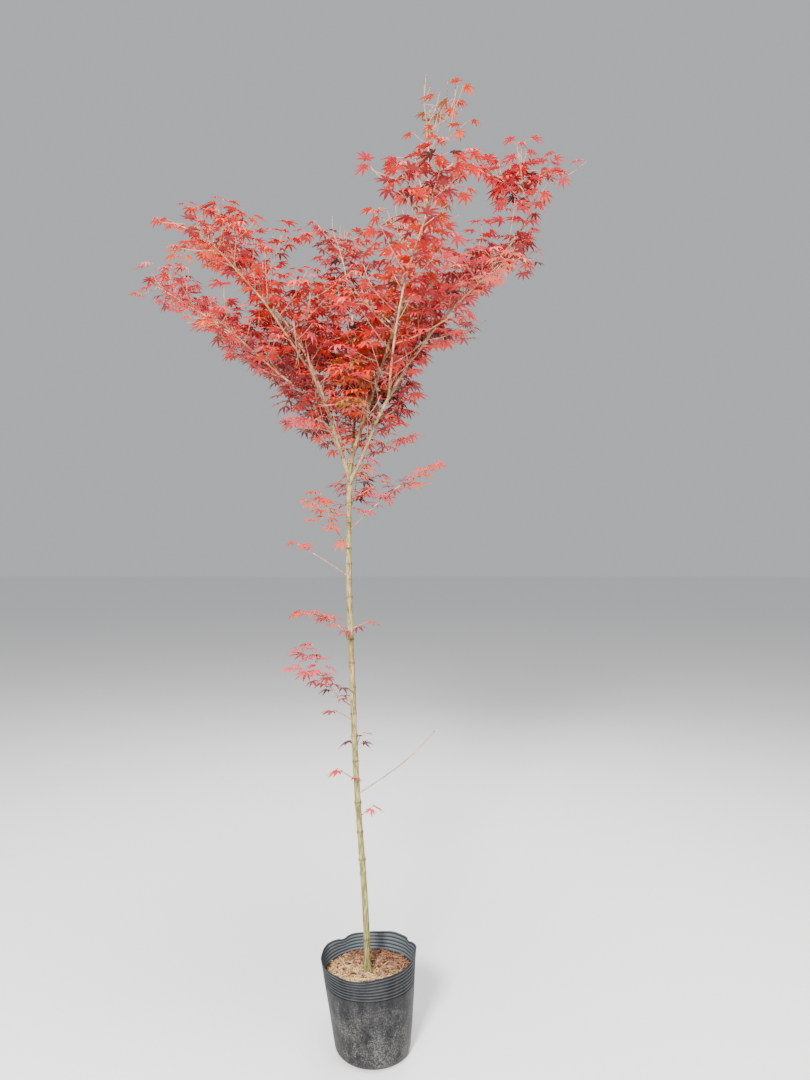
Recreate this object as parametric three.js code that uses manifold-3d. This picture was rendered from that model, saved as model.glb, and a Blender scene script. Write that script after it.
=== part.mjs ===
// A young palmate maple in a soft black nursery pot, about 2.6 m tall with its pot.
// Millimetres, +Z up. The origin is the middle of the pot's flat underside.
// A slim trunk forks at head height into long boughs that spread like a vase.
// Each mass of foliage grows by one seeded rule and keeps to its own space.
import * as THREE from "three";
import { mergeVertices } from "three/addons/utils/BufferGeometryUtils.js";
import Module from "manifold-3d";

const wasm = await Module();
wasm.setup();

// Clearance between pieces that touch on the real plant
const GAP = 0.3;

// Pot: thin soft plastic, with its wall slumped to one side. Its fine ribs come with the finished surface.
const POT_HEIGHT = 257;
const RIM_RADIUS = 130;
const BASE_RADIUS = 100;
const POT_WALL = 1.8;
const FOOT_ROUND = 28;
const FOOT_STEPS = 4;
const POT_SIDES = 48;
const RIM_SLUMP = -13;
const RIM_TILT = 9;
const RIM_TILT_TOWARD = 20;
const RIM_BEND = 4;
const WAVE_STARTS = 150;

// Potting mix: a low mound with a level top that the trunk stands on
const MIX_TOP = 218;
const MIX_LEVEL_RADIUS = 55;
const MIX_SHOULDER_RADIUS = 95;
const MIX_SHOULDER_DROP = 4;
const MIX_EDGE_DROP = 8;

// Trunk, with its root flare at the foot and a swollen ring at each old pair of buds
const TRUNK_FOOT = new THREE.Vector3(-15, -20, MIX_TOP + GAP);
const TRUNK_LENGTH = 1372;
const TRUNK_HEADINGS = [174];
const TRUNK_RISES = [89.5, 86.5, 85.2, 86.6, 88, 87.4, 88.6, 90.4, 91.8];
const TRUNK_RADII = [8.6, 8.4, 8.1, 7.9, 7.7, 7.4, 7.1, 7];
const FLARE_RADIUS = 11.5;
const FLARE_HEIGHT = 45;
const TRUNK_SIDES = 8;
const TRUNK_STEPS = 40;
const NODE_HEIGHTS = [85, 262, 297, 450, 562, 690, 890, 1005, 1095, 1180, 1262];
const NODE_SWELL = 0.9;
const NODE_HALF_LENGTH = 7;

// Boughs: each starts on another limb, at a share of that limb's length.
// Headings are degrees from +X toward +Y, rises are degrees above level, both read off along the limb.
const BOUGH_SIDES = 6;
const BOUGH_STEP = 62;
const BOUGHS = [
  { name: "leader", on: "trunk", at: 1, length: 800, radii: [5.4, 2.6],
    headings: [8, 6, 5], rises: [74, 71, 72, 72, 76, 88] },
  { name: "bough_left", on: "trunk", at: 0.975, length: 650, radii: [4.8, 2.5],
    headings: [160, 157, 160, 165], rises: [68, 72, 68, 58, 49, 48] },
  { name: "bough_right", on: "trunk", at: 0.962, length: 800, radii: [4.8, 2.4],
    headings: [336, 342, 347, 353], rises: [58, 68, 59, 55, 48, 43, 48, 54] },
  { name: "bough_back", on: "trunk", at: 0.99, length: 740, radii: [4.2, 2.4],
    headings: [82, 98, 110], rises: [56, 68, 66, 62, 58] },
  { name: "bough_left_inner", on: "bough_left", at: 0.84, length: 130, radii: [2.6, 2.2],
    headings: [222, 204], rises: [46, 62] },
  { name: "bough_left_outer", on: "bough_left", at: 0.3, length: 370, radii: [3.3, 2.2],
    headings: [206, 194, 186], rises: [20, 38, 40, 32] },
  { name: "bough_left_low", on: "bough_left", at: 0.12, length: 560, radii: [3.4, 2.2],
    headings: [128, 150, 160], rises: [34, 42, 37, 37, 42] },
  { name: "bough_front_left", on: "bough_left", at: 0.42, length: 330, radii: [3.1, 2.2],
    headings: [248, 236, 232], rises: [20, 38, 40, 30] },
  { name: "bough_front_right", on: "bough_right", at: 0.3, length: 400, radii: [3.1, 2.2],
    headings: [272, 284, 296], rises: [22, 50, 54, 44] },
  { name: "bough_back_right", on: "leader", at: 0.2, length: 480, radii: [3.4, 2.2],
    headings: [72, 56, 44], rises: [28, 50, 52, 44] },
];

// Masses of foliage. Each has one stem that meets the tip of its limb, or stands on its side.
// reach is the stem's length, spread and layer are the half width and half height of its own space,
// and pairs is how many opposite pairs of side twigs the stem bears.
const STEM_RADIUS = 2.8;
const STEM_TIP_RADIUS = 2.2;
const TWIG_RADIUS = 1.9;
const TWIG_ROOT_RADIUS = 1;
const STEM_SIDES = 3;
const STEM_STEPS = 4;
const SPACE_CENTRE = 0.68;
const SPRAYS = [
  { name: "spray_leader_tip", on: "leader", at: 1, reach: 245, spread: 165, layer: 240,
    pairs: 4, headings: [20], rises: [86, 92, 100], seed: 3 },
  { name: "spray_leader_side", on: "leader", at: 0.94, reach: 125, spread: 150, layer: 165,
    pairs: 2, headings: [238, 222], rises: [58, 78], seed: 5 },
  { name: "spray_leader_right", on: "leader", at: 0.86, reach: 140, spread: 160, layer: 150,
    pairs: 2, headings: [350, 5], rises: [52, 62], seed: 7 },
  { name: "spray_leader_left", on: "leader", at: 0.76, reach: 130, spread: 160, layer: 140,
    pairs: 2, headings: [172, 178], rises: [52, 60], seed: 9 },
  { name: "spray_leader_back", on: "leader", at: 0.8, reach: 160, spread: 175, layer: 145,
    pairs: 2, headings: [88, 84], rises: [44, 48], seed: 11 },
  { name: "spray_leader_front", on: "leader", at: 0.66, reach: 150, spread: 175, layer: 145,
    pairs: 2, headings: [292, 284], rises: [44, 48], seed: 13 },
  { name: "spray_leader_low", on: "leader", at: 0.5, reach: 160, spread: 175, layer: 135,
    pairs: 3, headings: [156, 168], rises: [46, 40], seed: 15 },
  { name: "spray_leader_foot", on: "leader", at: 0.26, reach: 130, spread: 150, layer: 110,
    pairs: 2, headings: [262, 268], rises: [24, 18], seed: 17 },
  { name: "spray_left_tip", on: "bough_left", at: 1, reach: 190, spread: 195, layer: 160,
    pairs: 3, headings: [166, 176], rises: [46, 36], seed: 19 },
  { name: "spray_left_inner", on: "bough_left_inner", at: 1, reach: 150, spread: 175, layer: 150,
    pairs: 3, headings: [204, 225], rises: [62, 54], seed: 21 },
  { name: "spray_left_outer", on: "bough_left_outer", at: 1, reach: 170, spread: 190, layer: 150,
    pairs: 3, headings: [186, 182], rises: [32, 30], seed: 23 },
  { name: "spray_left_low", on: "bough_left_low", at: 1, reach: 200, spread: 195, layer: 165,
    pairs: 4, headings: [162, 172], rises: [44, 48], seed: 25 },
  { name: "spray_left_mid", on: "bough_left", at: 0.66, reach: 180, spread: 175, layer: 135,
    pairs: 3, headings: [330, 318], rises: [34, 28], seed: 27 },
  { name: "spray_left_back", on: "bough_left", at: 0.58, reach: 190, spread: 190, layer: 140,
    pairs: 3, headings: [96, 112], rises: [28, 28], seed: 29 },
  { name: "spray_outer_side", on: "bough_left_outer", at: 0.62, reach: 160, spread: 170, layer: 125,
    pairs: 2, headings: [246, 236], rises: [18, 20], seed: 31 },
  { name: "spray_low_side", on: "bough_left_low", at: 0.6, reach: 180, spread: 175, layer: 135,
    pairs: 3, headings: [92, 102], rises: [24, 26], seed: 33 },
  { name: "spray_right_tip", on: "bough_right", at: 1, reach: 195, spread: 200, layer: 165,
    pairs: 4, headings: [354, 2], rises: [54, 50], seed: 35 },
  { name: "spray_right_upper", on: "bough_right", at: 0.82, reach: 185, spread: 185, layer: 140,
    pairs: 3, headings: [72, 66], rises: [28, 32], seed: 37 },
  { name: "spray_right_mid", on: "bough_right", at: 0.66, reach: 185, spread: 185, layer: 135,
    pairs: 3, headings: [300, 312], rises: [16, 22], seed: 39 },
  { name: "spray_right_back", on: "bough_right", at: 0.52, reach: 170, spread: 170, layer: 125,
    pairs: 2, headings: [74, 62], rises: [24, 22], seed: 41 },
  { name: "spray_right_foot", on: "bough_right", at: 0.22, reach: 115, spread: 130, layer: 105,
    pairs: 2, headings: [236, 244], rises: [14, 14], seed: 43 },
  { name: "spray_back_tip", on: "bough_back", at: 1, reach: 220, spread: 210, layer: 170,
    pairs: 4, headings: [110, 118], rises: [58, 52], seed: 45 },
  { name: "spray_back_side", on: "bough_back", at: 0.78, reach: 150, spread: 185, layer: 135,
    pairs: 3, headings: [8, 354], rises: [22, 22], seed: 47 },
  { name: "spray_front_left_tip", on: "bough_front_left", at: 1, reach: 195, spread: 200, layer: 150,
    pairs: 3, headings: [232, 240], rises: [30, 24], seed: 49 },
  { name: "spray_front_right_tip", on: "bough_front_right", at: 1, reach: 215, spread: 205, layer: 160,
    pairs: 3, headings: [296, 290], rises: [44, 40], seed: 51 },
  { name: "spray_back_right_tip", on: "bough_back_right", at: 1, reach: 225, spread: 210, layer: 170,
    pairs: 4, headings: [44, 38], rises: [44, 44], seed: 53 },
];

// Shoots on the bare trunk: thin, with a few leaves near their tips or none
const SHOOTS = [
  { name: "shoot_bare_right", at: 0.345, reach: 270,
    headings: [340, 350], rises: [34, 38, 52], leaves: 0, seed: 61 },
  { name: "shoot_bud_low", at: 0.3, reach: 34,
    headings: [330], rises: [40], leaves: 2, seed: 62 },
  { name: "shoot_bud_mid", at: 0.372, reach: 44,
    headings: [215], rises: [34], leaves: 3, seed: 63 },
  { name: "shoot_bud_back", at: 0.43, reach: 40,
    headings: [75], rises: [36], leaves: 2, seed: 64 },
  { name: "shoot_bud_left", at: 0.49, reach: 44,
    headings: [196], rises: [30], leaves: 2, seed: 65 },
  { name: "shoot_left_low", at: 0.515, reach: 200,
    headings: [186], rises: [34, 60, 80], leaves: 6, seed: 66 },
  { name: "shoot_left_arch", at: 0.655, reach: 135,
    headings: [184], rises: [46, 26, 4], leaves: 6, seed: 67 },
  { name: "shoot_right_bud", at: 0.67, reach: 40,
    headings: [345], rises: [24], leaves: 2, seed: 68 },
  { name: "shoot_left_thin", at: 0.775, reach: 160,
    headings: [176], rises: [34, 30], leaves: 2, seed: 69 },
  { name: "shoot_left_leafy", at: 0.825, reach: 165,
    headings: [208, 200], rises: [56, 70], leaves: 6, seed: 70 },
  { name: "shoot_right_high", at: 0.865, reach: 285,
    headings: [344, 352], rises: [44, 38, 26], leaves: 5, seed: 71 },
  { name: "shoot_back", at: 0.9, reach: 190,
    headings: [80, 92], rises: [36, 44], leaves: 6, seed: 72 },
];
const SHOOT_RADIUS = 2.2;
const SHOOT_LEAVES_FROM = 0.98;
const SHOOT_LEAF_STEP = 0.12;
const SHOOT_LEAF_TURN = 125;

// The growth rule of a mass. Angles are degrees and lengths are shares of its stem's reach.
// Every other pair of twigs is twisted, so that one rises and one sinks.
const FIRST_PAIR = 0.3;
const PAIRS_SPAN = 0.58;
const TWIG_TURN = [46, 72];
const TWIG_RISE = 8;
const TWIG_TWIST = 18;
const TWIG_RISE_RANGE = 26;
const TWIG_LENGTH = 0.52;
const TWIG_TAPER = 0.22;
const TWIG_VARIES = [0.85, 1.25];
const TWIG_LEAVES = [
  { share: 0.97, turn: 46 },
  { share: 0.93, turn: -46 },
];
const TIP_LEAVES = [
  { share: 0.98, turn: 0 },
  { share: 0.95, turn: 95 },
  { share: 0.92, turn: -95 },
];

// Leaves: five pointed lobes, a little larger than life because each stands for a few
const LOBE_LENGTH = 74;
const LOBE_ANGLES = [98, 47, 0, -47, -98];
const LOBE_SHARES = [0.62, 0.92, 1, 0.92, 0.62];
const NOTCH_SHARE = 0.33;
const LEAF_BASE_SHARE = 0.14;
const STALK_LENGTH = 34;
const STALK_HALF_WIDTH = 0.6;
const STALK_DEPTH = 0.8;
const BLADE_ABOVE = 0.8;
const BLADE_BELOW = 1.5;
const LEAF_SPACING = 40;
const LIMB_CLEARANCE = 8;
const TWIG_CLEARANCE = 3;
const TWIG_CHECKS = [0.45, 0.7, 1];
const LEAF_ATTEMPTS = 5;
const LEAF_SWING = 17;
const LEAF_DROOP = [18, 70];
const LEAF_ROLL = [-42, 42];
const LEAF_SIZE = [0.84, 1.14];
const ATTEMPT_SHRINK = 0.06;
const LEAF_SEED = 500;

const MERGE_DISTANCE = 1e-3;
const X_AXIS = new THREE.Vector3(1, 0, 0);
const Z_AXIS = new THREE.Vector3(0, 0, 1);
const radians = THREE.MathUtils.degToRad;

// A repeatable stream of numbers from 0 to 1
function seeded(seed) {
  const modulus = 2147483647;
  let state = (seed * 7919 + 104729) % modulus;
  const next = () => {
    state = (state * 16807) % modulus;
    return state / modulus;
  };
  next();
  next();
  return next;
}

const between = ([least, most], share) => least + (most - least) * share;

// The value at a share from 0 to 1 along an evenly spaced list
function along(list, share) {
  const place = Math.min(Math.max(share, 0), 1) * (list.length - 1);
  const before = Math.min(Math.floor(place), Math.max(list.length - 2, 0));
  const after = Math.min(before + 1, list.length - 1);
  return list[before] + (list[after] - list[before]) * (place - before);
}

function direction(heading, rise) {
  const level = Math.cos(radians(rise));
  return new THREE.Vector3(
    level * Math.cos(radians(heading)),
    level * Math.sin(radians(heading)),
    Math.sin(radians(rise)),
  );
}

// A path of even steps whose heading and rise change along it
function grow(start, length, headings, rises, steps) {
  const points = [start.clone()];
  for (let i = 0; i < steps; i += 1) {
    const share = (i + 0.5) / steps;
    const way = direction(along(headings, share), along(rises, share));
    points.push(points[i].clone().addScaledVector(way, length / steps));
  }
  return points;
}

// The point, direction and radius at a share of a limb's length
function placeOn(limb, share) {
  const place = Math.min(share, 1) * (limb.points.length - 1);
  const before = Math.min(Math.floor(place), limb.points.length - 2);
  const from = limb.points[before];
  const to = limb.points[before + 1];
  return {
    point: from.clone().lerp(to, place - before),
    way: to.clone().sub(from).normalize(),
    radius: limb.radiusAt ? limb.radiusAt(share) : along(limb.radii, share),
  };
}

// Where a new stem leaves a limb: off its end face, or off its side on a face that lies along the limb
function footOn(limb, share, heading, rise) {
  const place = placeOn(limb, share);
  if (share === 1) {
    return { start: place.point.addScaledVector(place.way, GAP), face: place.way };
  }
  const way = direction(heading, rise);
  const face = way.clone().addScaledVector(place.way, -way.dot(place.way)).normalize();
  const out = (place.radius + GAP) / way.dot(face);
  return { start: place.point.addScaledVector(way, out), face };
}

// A closed tapering stem along a path. Its first ring lies in the face that it grows from.
function stemGeometry(points, radii, sides, face) {
  const positions = [];
  const triangles = [];
  const side = new THREE.Vector3();
  points.forEach((point, i) => {
    const from = points[Math.max(i - 1, 0)];
    const to = points[Math.min(i + 1, points.length - 1)];
    const way = to.clone().sub(from).normalize();
    if (i === 0) side.copy(Math.abs(way.z) < 0.9 ? Z_AXIS : X_AXIS);
    side.addScaledVector(way, -side.dot(way)).normalize();
    const across = way.clone().cross(side);
    const radius = along(radii, i / (points.length - 1));
    for (let k = 0; k < sides; k += 1) {
      const turn = (2 * Math.PI * k) / sides;
      const corner = point.clone();
      corner.addScaledVector(side, radius * Math.cos(turn));
      corner.addScaledVector(across, radius * Math.sin(turn));
      if (i === 0 && face) {
        const short = point.clone().sub(corner).dot(face) / way.dot(face);
        corner.addScaledVector(way, short);
      }
      positions.push(corner.x, corner.y, corner.z);
    }
  });
  for (let i = 0; i + 1 < points.length; i += 1) {
    for (let k = 0; k < sides; k += 1) {
      const a = i * sides + k;
      const b = i * sides + ((k + 1) % sides);
      triangles.push(a, b, b + sides, a, b + sides, a + sides);
    }
  }
  const last = (points.length - 1) * sides;
  for (let k = 1; k + 1 < sides; k += 1) {
    triangles.push(0, k + 1, k);
    triangles.push(last, last + k, last + k + 1);
  }
  return indexed(positions, triangles);
}

function indexed(positions, triangles) {
  const geometry = new THREE.BufferGeometry();
  geometry.setAttribute("position", new THREE.Float32BufferAttribute(positions, 3));
  geometry.setIndex(triangles);
  return geometry;
}

// The three directions of a leaf: out along its stalk, across its blade, and up from the blade
function leafFrame(heading, droop, roll) {
  const out = direction(heading, -droop);
  const across = new THREE.Vector3().crossVectors(Z_AXIS, out).normalize();
  across.applyAxisAngle(out, radians(roll));
  const up = new THREE.Vector3().crossVectors(out, across);
  return { out, across, up };
}

// The outline of a leaf blade in its own plane, from one side of its stalk round to the other
function leafOutline(size) {
  const points = [new THREE.Vector2(-LEAF_BASE_SHARE * size, STALK_HALF_WIDTH)];
  const polar = (angle, radius) => {
    points.push(new THREE.Vector2(Math.cos(radians(angle)) * radius, Math.sin(radians(angle)) * radius));
  };
  LOBE_ANGLES.forEach((angle, i) => {
    polar(angle, LOBE_SHARES[i] * size);
    if (i + 1 < LOBE_ANGLES.length) polar((angle + LOBE_ANGLES[i + 1]) / 2, NOTCH_SHARE * size);
  });
  points.push(new THREE.Vector2(-LEAF_BASE_SHARE * size, -STALK_HALF_WIDTH));
  return points;
}

// The corners of a leaf: its outline, the top and underside of its blade, and the three of its stalk's root
function leafPoints(leaf) {
  const { out, across, up } = leafFrame(leaf.heading, leaf.droop, leaf.roll);
  const at = (forward, sideways, height) => leaf.root
    .clone()
    .addScaledVector(out, forward)
    .addScaledVector(across, sideways)
    .addScaledVector(up, height);
  const rootHeight = STALK_DEPTH / 3;
  return {
    outline: leafOutline(leaf.size).map((p) => at(STALK_LENGTH + p.x, p.y, 0)),
    top: at(STALK_LENGTH, 0, BLADE_ABOVE),
    underside: at(STALK_LENGTH, 0, -BLADE_BELOW),
    root: [
      at(0, STALK_HALF_WIDTH, rootHeight),
      at(0, -STALK_HALF_WIDTH, rootHeight),
      at(0, 0, rootHeight - STALK_DEPTH),
    ],
  };
}

function leafGeometry(leaf) {
  const { outline, top: topPoint, underside, root } = leafPoints(leaf);
  const points = [...outline, topPoint, underside, ...root];
  const rim = outline.length;
  const [top, bottom, rootLeft, rootRight, rootLow] = [rim, rim + 1, rim + 2, rim + 3, rim + 4];
  const triangles = [];
  for (let i = 0; i + 1 < rim; i += 1) {
    triangles.push(top, i + 1, i, bottom, i, i + 1);
  }
  triangles.push(top, 0, rim - 1);
  triangles.push(0, rootLeft, rootRight, 0, rootRight, rim - 1);
  triangles.push(bottom, rootLeft, 0, bottom, rootLow, rootLeft);
  triangles.push(bottom, rim - 1, rootRight, bottom, rootRight, rootLow);
  triangles.push(rootLeft, rootLow, rootRight);
  return indexed(points.flatMap((p) => [p.x, p.y, p.z]), triangles);
}

function solidOf(geometry) {
  const bare = geometry.clone();
  bare.deleteAttribute("normal");
  bare.deleteAttribute("uv");
  const merged = mergeVertices(bare, MERGE_DISTANCE);
  return new wasm.Manifold(
    new wasm.Mesh({
      numProp: 3,
      vertProperties: merged.attributes.position.array,
      triVerts: new Uint32Array(merged.index.array),
    }),
  );
}

// Joins pieces into one body. Loose scraps are dropped, and so is a hollow that the joining sealed.
function fuse(geometries) {
  let whole = solidOf(geometries[0]);
  for (const geometry of geometries.slice(1)) {
    whole = whole.add(solidOf(geometry));
  }
  const bodies = whole.decompose();
  const largest = bodies.reduce((a, b) => (b.volume() > a.volume() ? b : a));
  const mesh = largest.getMesh();
  return indexed(Array.from(mesh.vertProperties), Array.from(mesh.triVerts));
}

// Pot and potting mix: turned shapes, then slumped and waved together
function wallRadius(height) {
  return BASE_RADIUS + ((RIM_RADIUS - BASE_RADIUS) * height) / POT_HEIGHT;
}

function slump(geometry) {
  const position = geometry.getAttribute("position");
  const tiltToward = radians(RIM_TILT_TOWARD);
  for (let i = 0; i < position.count; i += 1) {
    const [x, y, z] = [position.getX(i), position.getY(i), position.getZ(i)];
    const angle = Math.atan2(y, x);
    const high = Math.max(0, (z - WAVE_STARTS) / (POT_HEIGHT - WAVE_STARTS));
    const outward = (x * x + y * y) / (RIM_RADIUS * RIM_RADIUS);
    const wave = RIM_TILT * Math.cos(angle - tiltToward) + RIM_BEND * Math.cos(2 * angle);
    position.setX(i, x + (RIM_SLUMP * z) / POT_HEIGHT);
    position.setZ(i, z + wave * high * high * outward);
  }
  return geometry;
}

function turned(profile) {
  const points = profile.map(([radius, height]) => new THREE.Vector2(radius, height));
  const geometry = new THREE.LatheGeometry(points, POT_SIDES);
  geometry.rotateX(Math.PI / 2);
  geometry.deleteAttribute("normal");
  geometry.deleteAttribute("uv");
  return mergeVertices(slump(geometry), MERGE_DISTANCE);
}

// The profile from the flat underside round into the wall, set in from the pot's outside
function footArc(inset) {
  const centre = wallRadius(FOOT_ROUND) - FOOT_ROUND;
  const radius = FOOT_ROUND - inset;
  const points = [];
  for (let i = 0; i <= FOOT_STEPS; i += 1) {
    const turn = (Math.PI / 2) * (i / FOOT_STEPS);
    points.push([centre + radius * Math.sin(turn), FOOT_ROUND - radius * Math.cos(turn)]);
  }
  return points;
}

function potGeometry() {
  return turned([
    [0, 0],
    ...footArc(0),
    [wallRadius(WAVE_STARTS), WAVE_STARTS],
    [wallRadius(MIX_TOP), MIX_TOP],
    [RIM_RADIUS, POT_HEIGHT],
    [RIM_RADIUS - POT_WALL, POT_HEIGHT],
    [wallRadius(MIX_TOP) - POT_WALL, MIX_TOP],
    [wallRadius(WAVE_STARTS) - POT_WALL, WAVE_STARTS],
    ...footArc(POT_WALL).reverse(),
    [0, POT_WALL],
  ]);
}

function mixGeometry() {
  const inset = POT_WALL + GAP;
  const edge = MIX_TOP - MIX_EDGE_DROP;
  return turned([
    [0, inset],
    ...footArc(inset),
    [wallRadius(WAVE_STARTS) - inset, WAVE_STARTS],
    [wallRadius(edge) - inset, edge],
    [MIX_SHOULDER_RADIUS, MIX_TOP - MIX_SHOULDER_DROP],
    [MIX_LEVEL_RADIUS, MIX_TOP],
    [0, MIX_TOP],
  ]);
}

// Trunk: rings at every step and three more at each swollen bud ring
function trunkRadius(height) {
  const flare = Math.max(0, 1 - height / FLARE_HEIGHT);
  const plain = along(TRUNK_RADII, height / TRUNK_LENGTH);
  const offNode = Math.min(...NODE_HEIGHTS.map((node) => Math.abs(height - node)));
  const swell = NODE_SWELL * Math.max(0, 1 - offNode / NODE_HALF_LENGTH);
  return plain + swell + (FLARE_RADIUS - TRUNK_RADII[0]) * flare * flare;
}

function trunkGeometry(trunk) {
  const stations = [0, FLARE_HEIGHT / 3, (2 * FLARE_HEIGHT) / 3, TRUNK_LENGTH];
  for (const height of NODE_HEIGHTS) {
    stations.push(height - NODE_HALF_LENGTH, height, height + NODE_HALF_LENGTH);
  }
  stations.sort((a, b) => a - b);
  const positions = [];
  const triangles = [];
  for (const height of stations) {
    const { point } = placeOn(trunk, height / TRUNK_LENGTH);
    const radius = trunkRadius(height);
    for (let k = 0; k < TRUNK_SIDES; k += 1) {
      const turn = (2 * Math.PI * k) / TRUNK_SIDES;
      positions.push(point.x + radius * Math.cos(turn), point.y + radius * Math.sin(turn), point.z);
    }
  }
  for (let i = 0; i + 1 < stations.length; i += 1) {
    for (let k = 0; k < TRUNK_SIDES; k += 1) {
      const a = i * TRUNK_SIDES + k;
      const b = i * TRUNK_SIDES + ((k + 1) % TRUNK_SIDES);
      triangles.push(a, b, b + TRUNK_SIDES, a, b + TRUNK_SIDES, a + TRUNK_SIDES);
    }
  }
  const last = (stations.length - 1) * TRUNK_SIDES;
  for (let k = 1; k + 1 < TRUNK_SIDES; k += 1) {
    triangles.push(0, k + 1, k);
    triangles.push(last, last + k, last + k + 1);
  }
  return indexed(positions, triangles);
}

// Every limb and stem as a path with its radii, by name
const limbs = {};
limbs.trunk = {
  points: grow(TRUNK_FOOT, TRUNK_LENGTH, TRUNK_HEADINGS, TRUNK_RISES, TRUNK_STEPS),
  radii: TRUNK_RADII,
  radiusAt: (share) => trunkRadius(share * TRUNK_LENGTH),
};
for (const bough of BOUGHS) {
  const foot = footOn(limbs[bough.on], bough.at, bough.headings[0], bough.rises[0]);
  const steps = Math.round(bough.length / BOUGH_STEP);
  limbs[bough.name] = {
    points: grow(foot.start, bough.length, bough.headings, bough.rises, steps),
    radii: bough.radii,
    face: foot.face,
  };
}

// The stem of each mass and shoot, and the middle of each mass's own space
for (const spray of SPRAYS) {
  const foot = footOn(limbs[spray.on], spray.at, spray.headings[0], spray.rises[0]);
  limbs[spray.name] = {
    points: grow(foot.start, spray.reach, spray.headings, spray.rises, STEM_STEPS),
    radii: [STEM_RADIUS, STEM_TIP_RADIUS],
    face: foot.face,
  };
  spray.centre = placeOn(limbs[spray.name], SPACE_CENTRE).point;
}
for (const shoot of SHOOTS) {
  const foot = footOn(limbs.trunk, shoot.at, shoot.headings[0], shoot.rises[0]);
  limbs[shoot.name] = {
    points: grow(foot.start, shoot.reach, shoot.headings, shoot.rises, shoot.rises.length + 1),
    radii: [SHOOT_RADIUS, TWIG_RADIUS],
    face: foot.face,
  };
}

// True where a point lies in a mass's own space, on its own side of every neighbour
function hasRoom(spray, point) {
  const from = point.clone().sub(spray.centre);
  const level = (from.x * from.x + from.y * from.y) / (spray.spread * spray.spread);
  if (level + (from.z * from.z) / (spray.layer * spray.layer) > 1) return false;
  return SPRAYS.every((other) => {
    if (other === spray) return true;
    const toward = other.centre.clone().sub(spray.centre);
    const apart = toward.length();
    const border = (apart * spray.spread) / (spray.spread + other.spread);
    return from.dot(toward) / apart < border - GAP;
  });
}

function distanceToLimb(point, limb) {
  const line = new THREE.Line3();
  const nearest = new THREE.Vector3();
  let least = Infinity;
  for (let i = 0; i + 1 < limb.points.length; i += 1) {
    line.set(limb.points[i], limb.points[i + 1]).closestPointToPoint(point, true, nearest);
    least = Math.min(least, nearest.distanceTo(point) - limb.radii[0]);
  }
  return least;
}

function clearOfLimbs(own, point, clearance) {
  return Object.entries(limbs).every(
    ([name, limb]) => name === own || distanceToLimb(point, limb) > clearance,
  );
}

// Leaf blades are tested at their outline and half way out along each lobe, and against the mass so far
function leafFits(leaf, mass) {
  const { outline, top, underside } = leafPoints(leaf);
  if (mass.blades.some((other) => other.middle.distanceTo(top) < LEAF_SPACING)) return false;
  const halfway = outline.map((point) => point.clone().lerp(top, 0.5));
  const clear = [...outline, ...halfway, top, underside]
    .every((p) => mass.hasRoom(p) && clearOfLimbs(mass.name, p, LIMB_CLEARANCE));
  if (!clear) return false;
  const solid = solidOf(leafGeometry(leaf));
  return mass.blades.every((other) => other.solid.intersect(solid).isEmpty());
}

function twigFits(spray, from, to) {
  return TWIG_CHECKS.every((share) => {
    const point = from.clone().lerp(to, share);
    return hasRoom(spray, point) && clearOfLimbs(spray.name, point, TWIG_CLEARANCE);
  });
}

// Adds a leaf that fits, out of a few tries that swing it further round each time, and says if it did
function addLeaf(mass, root, heading) {
  for (let attempt = 0; attempt < LEAF_ATTEMPTS; attempt += 1) {
    const leaf = {
      root,
      heading: heading + attempt * between([-LEAF_SWING, LEAF_SWING], mass.random()),
      droop: between(LEAF_DROOP, mass.random()),
      roll: between(LEAF_ROLL, mass.random()),
      size: LOBE_LENGTH * (between(LEAF_SIZE, mass.random()) - ATTEMPT_SHRINK * attempt),
    };
    if (!leafFits(leaf, mass)) continue;
    const geometry = leafGeometry(leaf);
    mass.pieces.push(geometry);
    mass.blades.push({ middle: leafPoints(leaf).top, solid: solidOf(geometry) });
    return true;
  }
  return false;
}

// A mass: its stem, opposite pairs of side twigs, and leaves at the tips. A twig with no leaf is dropped.
function sprayGeometry(spray) {
  const random = seeded(spray.seed);
  const stem = limbs[spray.name];
  const mass = {
    name: spray.name,
    pieces: [stemGeometry(stem.points, stem.radii, STEM_SIDES, stem.face)],
    blades: [],
    random: seeded(spray.seed + LEAF_SEED),
    hasRoom: (point) => hasRoom(spray, point),
  };
  for (let i = 0; i < spray.pairs; i += 1) {
    const share = FIRST_PAIR + (PAIRS_SPAN * i) / Math.max(spray.pairs - 1, 1);
    const node = placeOn(stem, share);
    const heading = along(spray.headings, share);
    for (const hand of [-1, 1]) {
      const aside = heading + hand * between(TWIG_TURN, random());
      const rise = (i % 2 ? hand * TWIG_TWIST : TWIG_RISE) + TWIG_RISE_RANGE * random();
      const reachShare = TWIG_LENGTH - TWIG_TAPER * share;
      const length = spray.reach * reachShare * between(TWIG_VARIES, random());
      const tip = node.point.clone().addScaledVector(direction(aside, rise), length);
      if (!twigFits(spray, node.point, tip)) continue;
      const added = TWIG_LEAVES.map((leaf) => addLeaf(
        mass,
        node.point.clone().lerp(tip, leaf.share),
        aside + leaf.turn,
      ));
      if (added.includes(true)) {
        mass.pieces.push(stemGeometry([node.point, tip], [TWIG_ROOT_RADIUS, TWIG_RADIUS], STEM_SIDES));
      }
    }
  }
  for (const { share, turn } of TIP_LEAVES) {
    addLeaf(mass, placeOn(stem, share).point, spray.headings.at(-1) + turn);
  }
  return fuse(mass.pieces);
}

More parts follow.
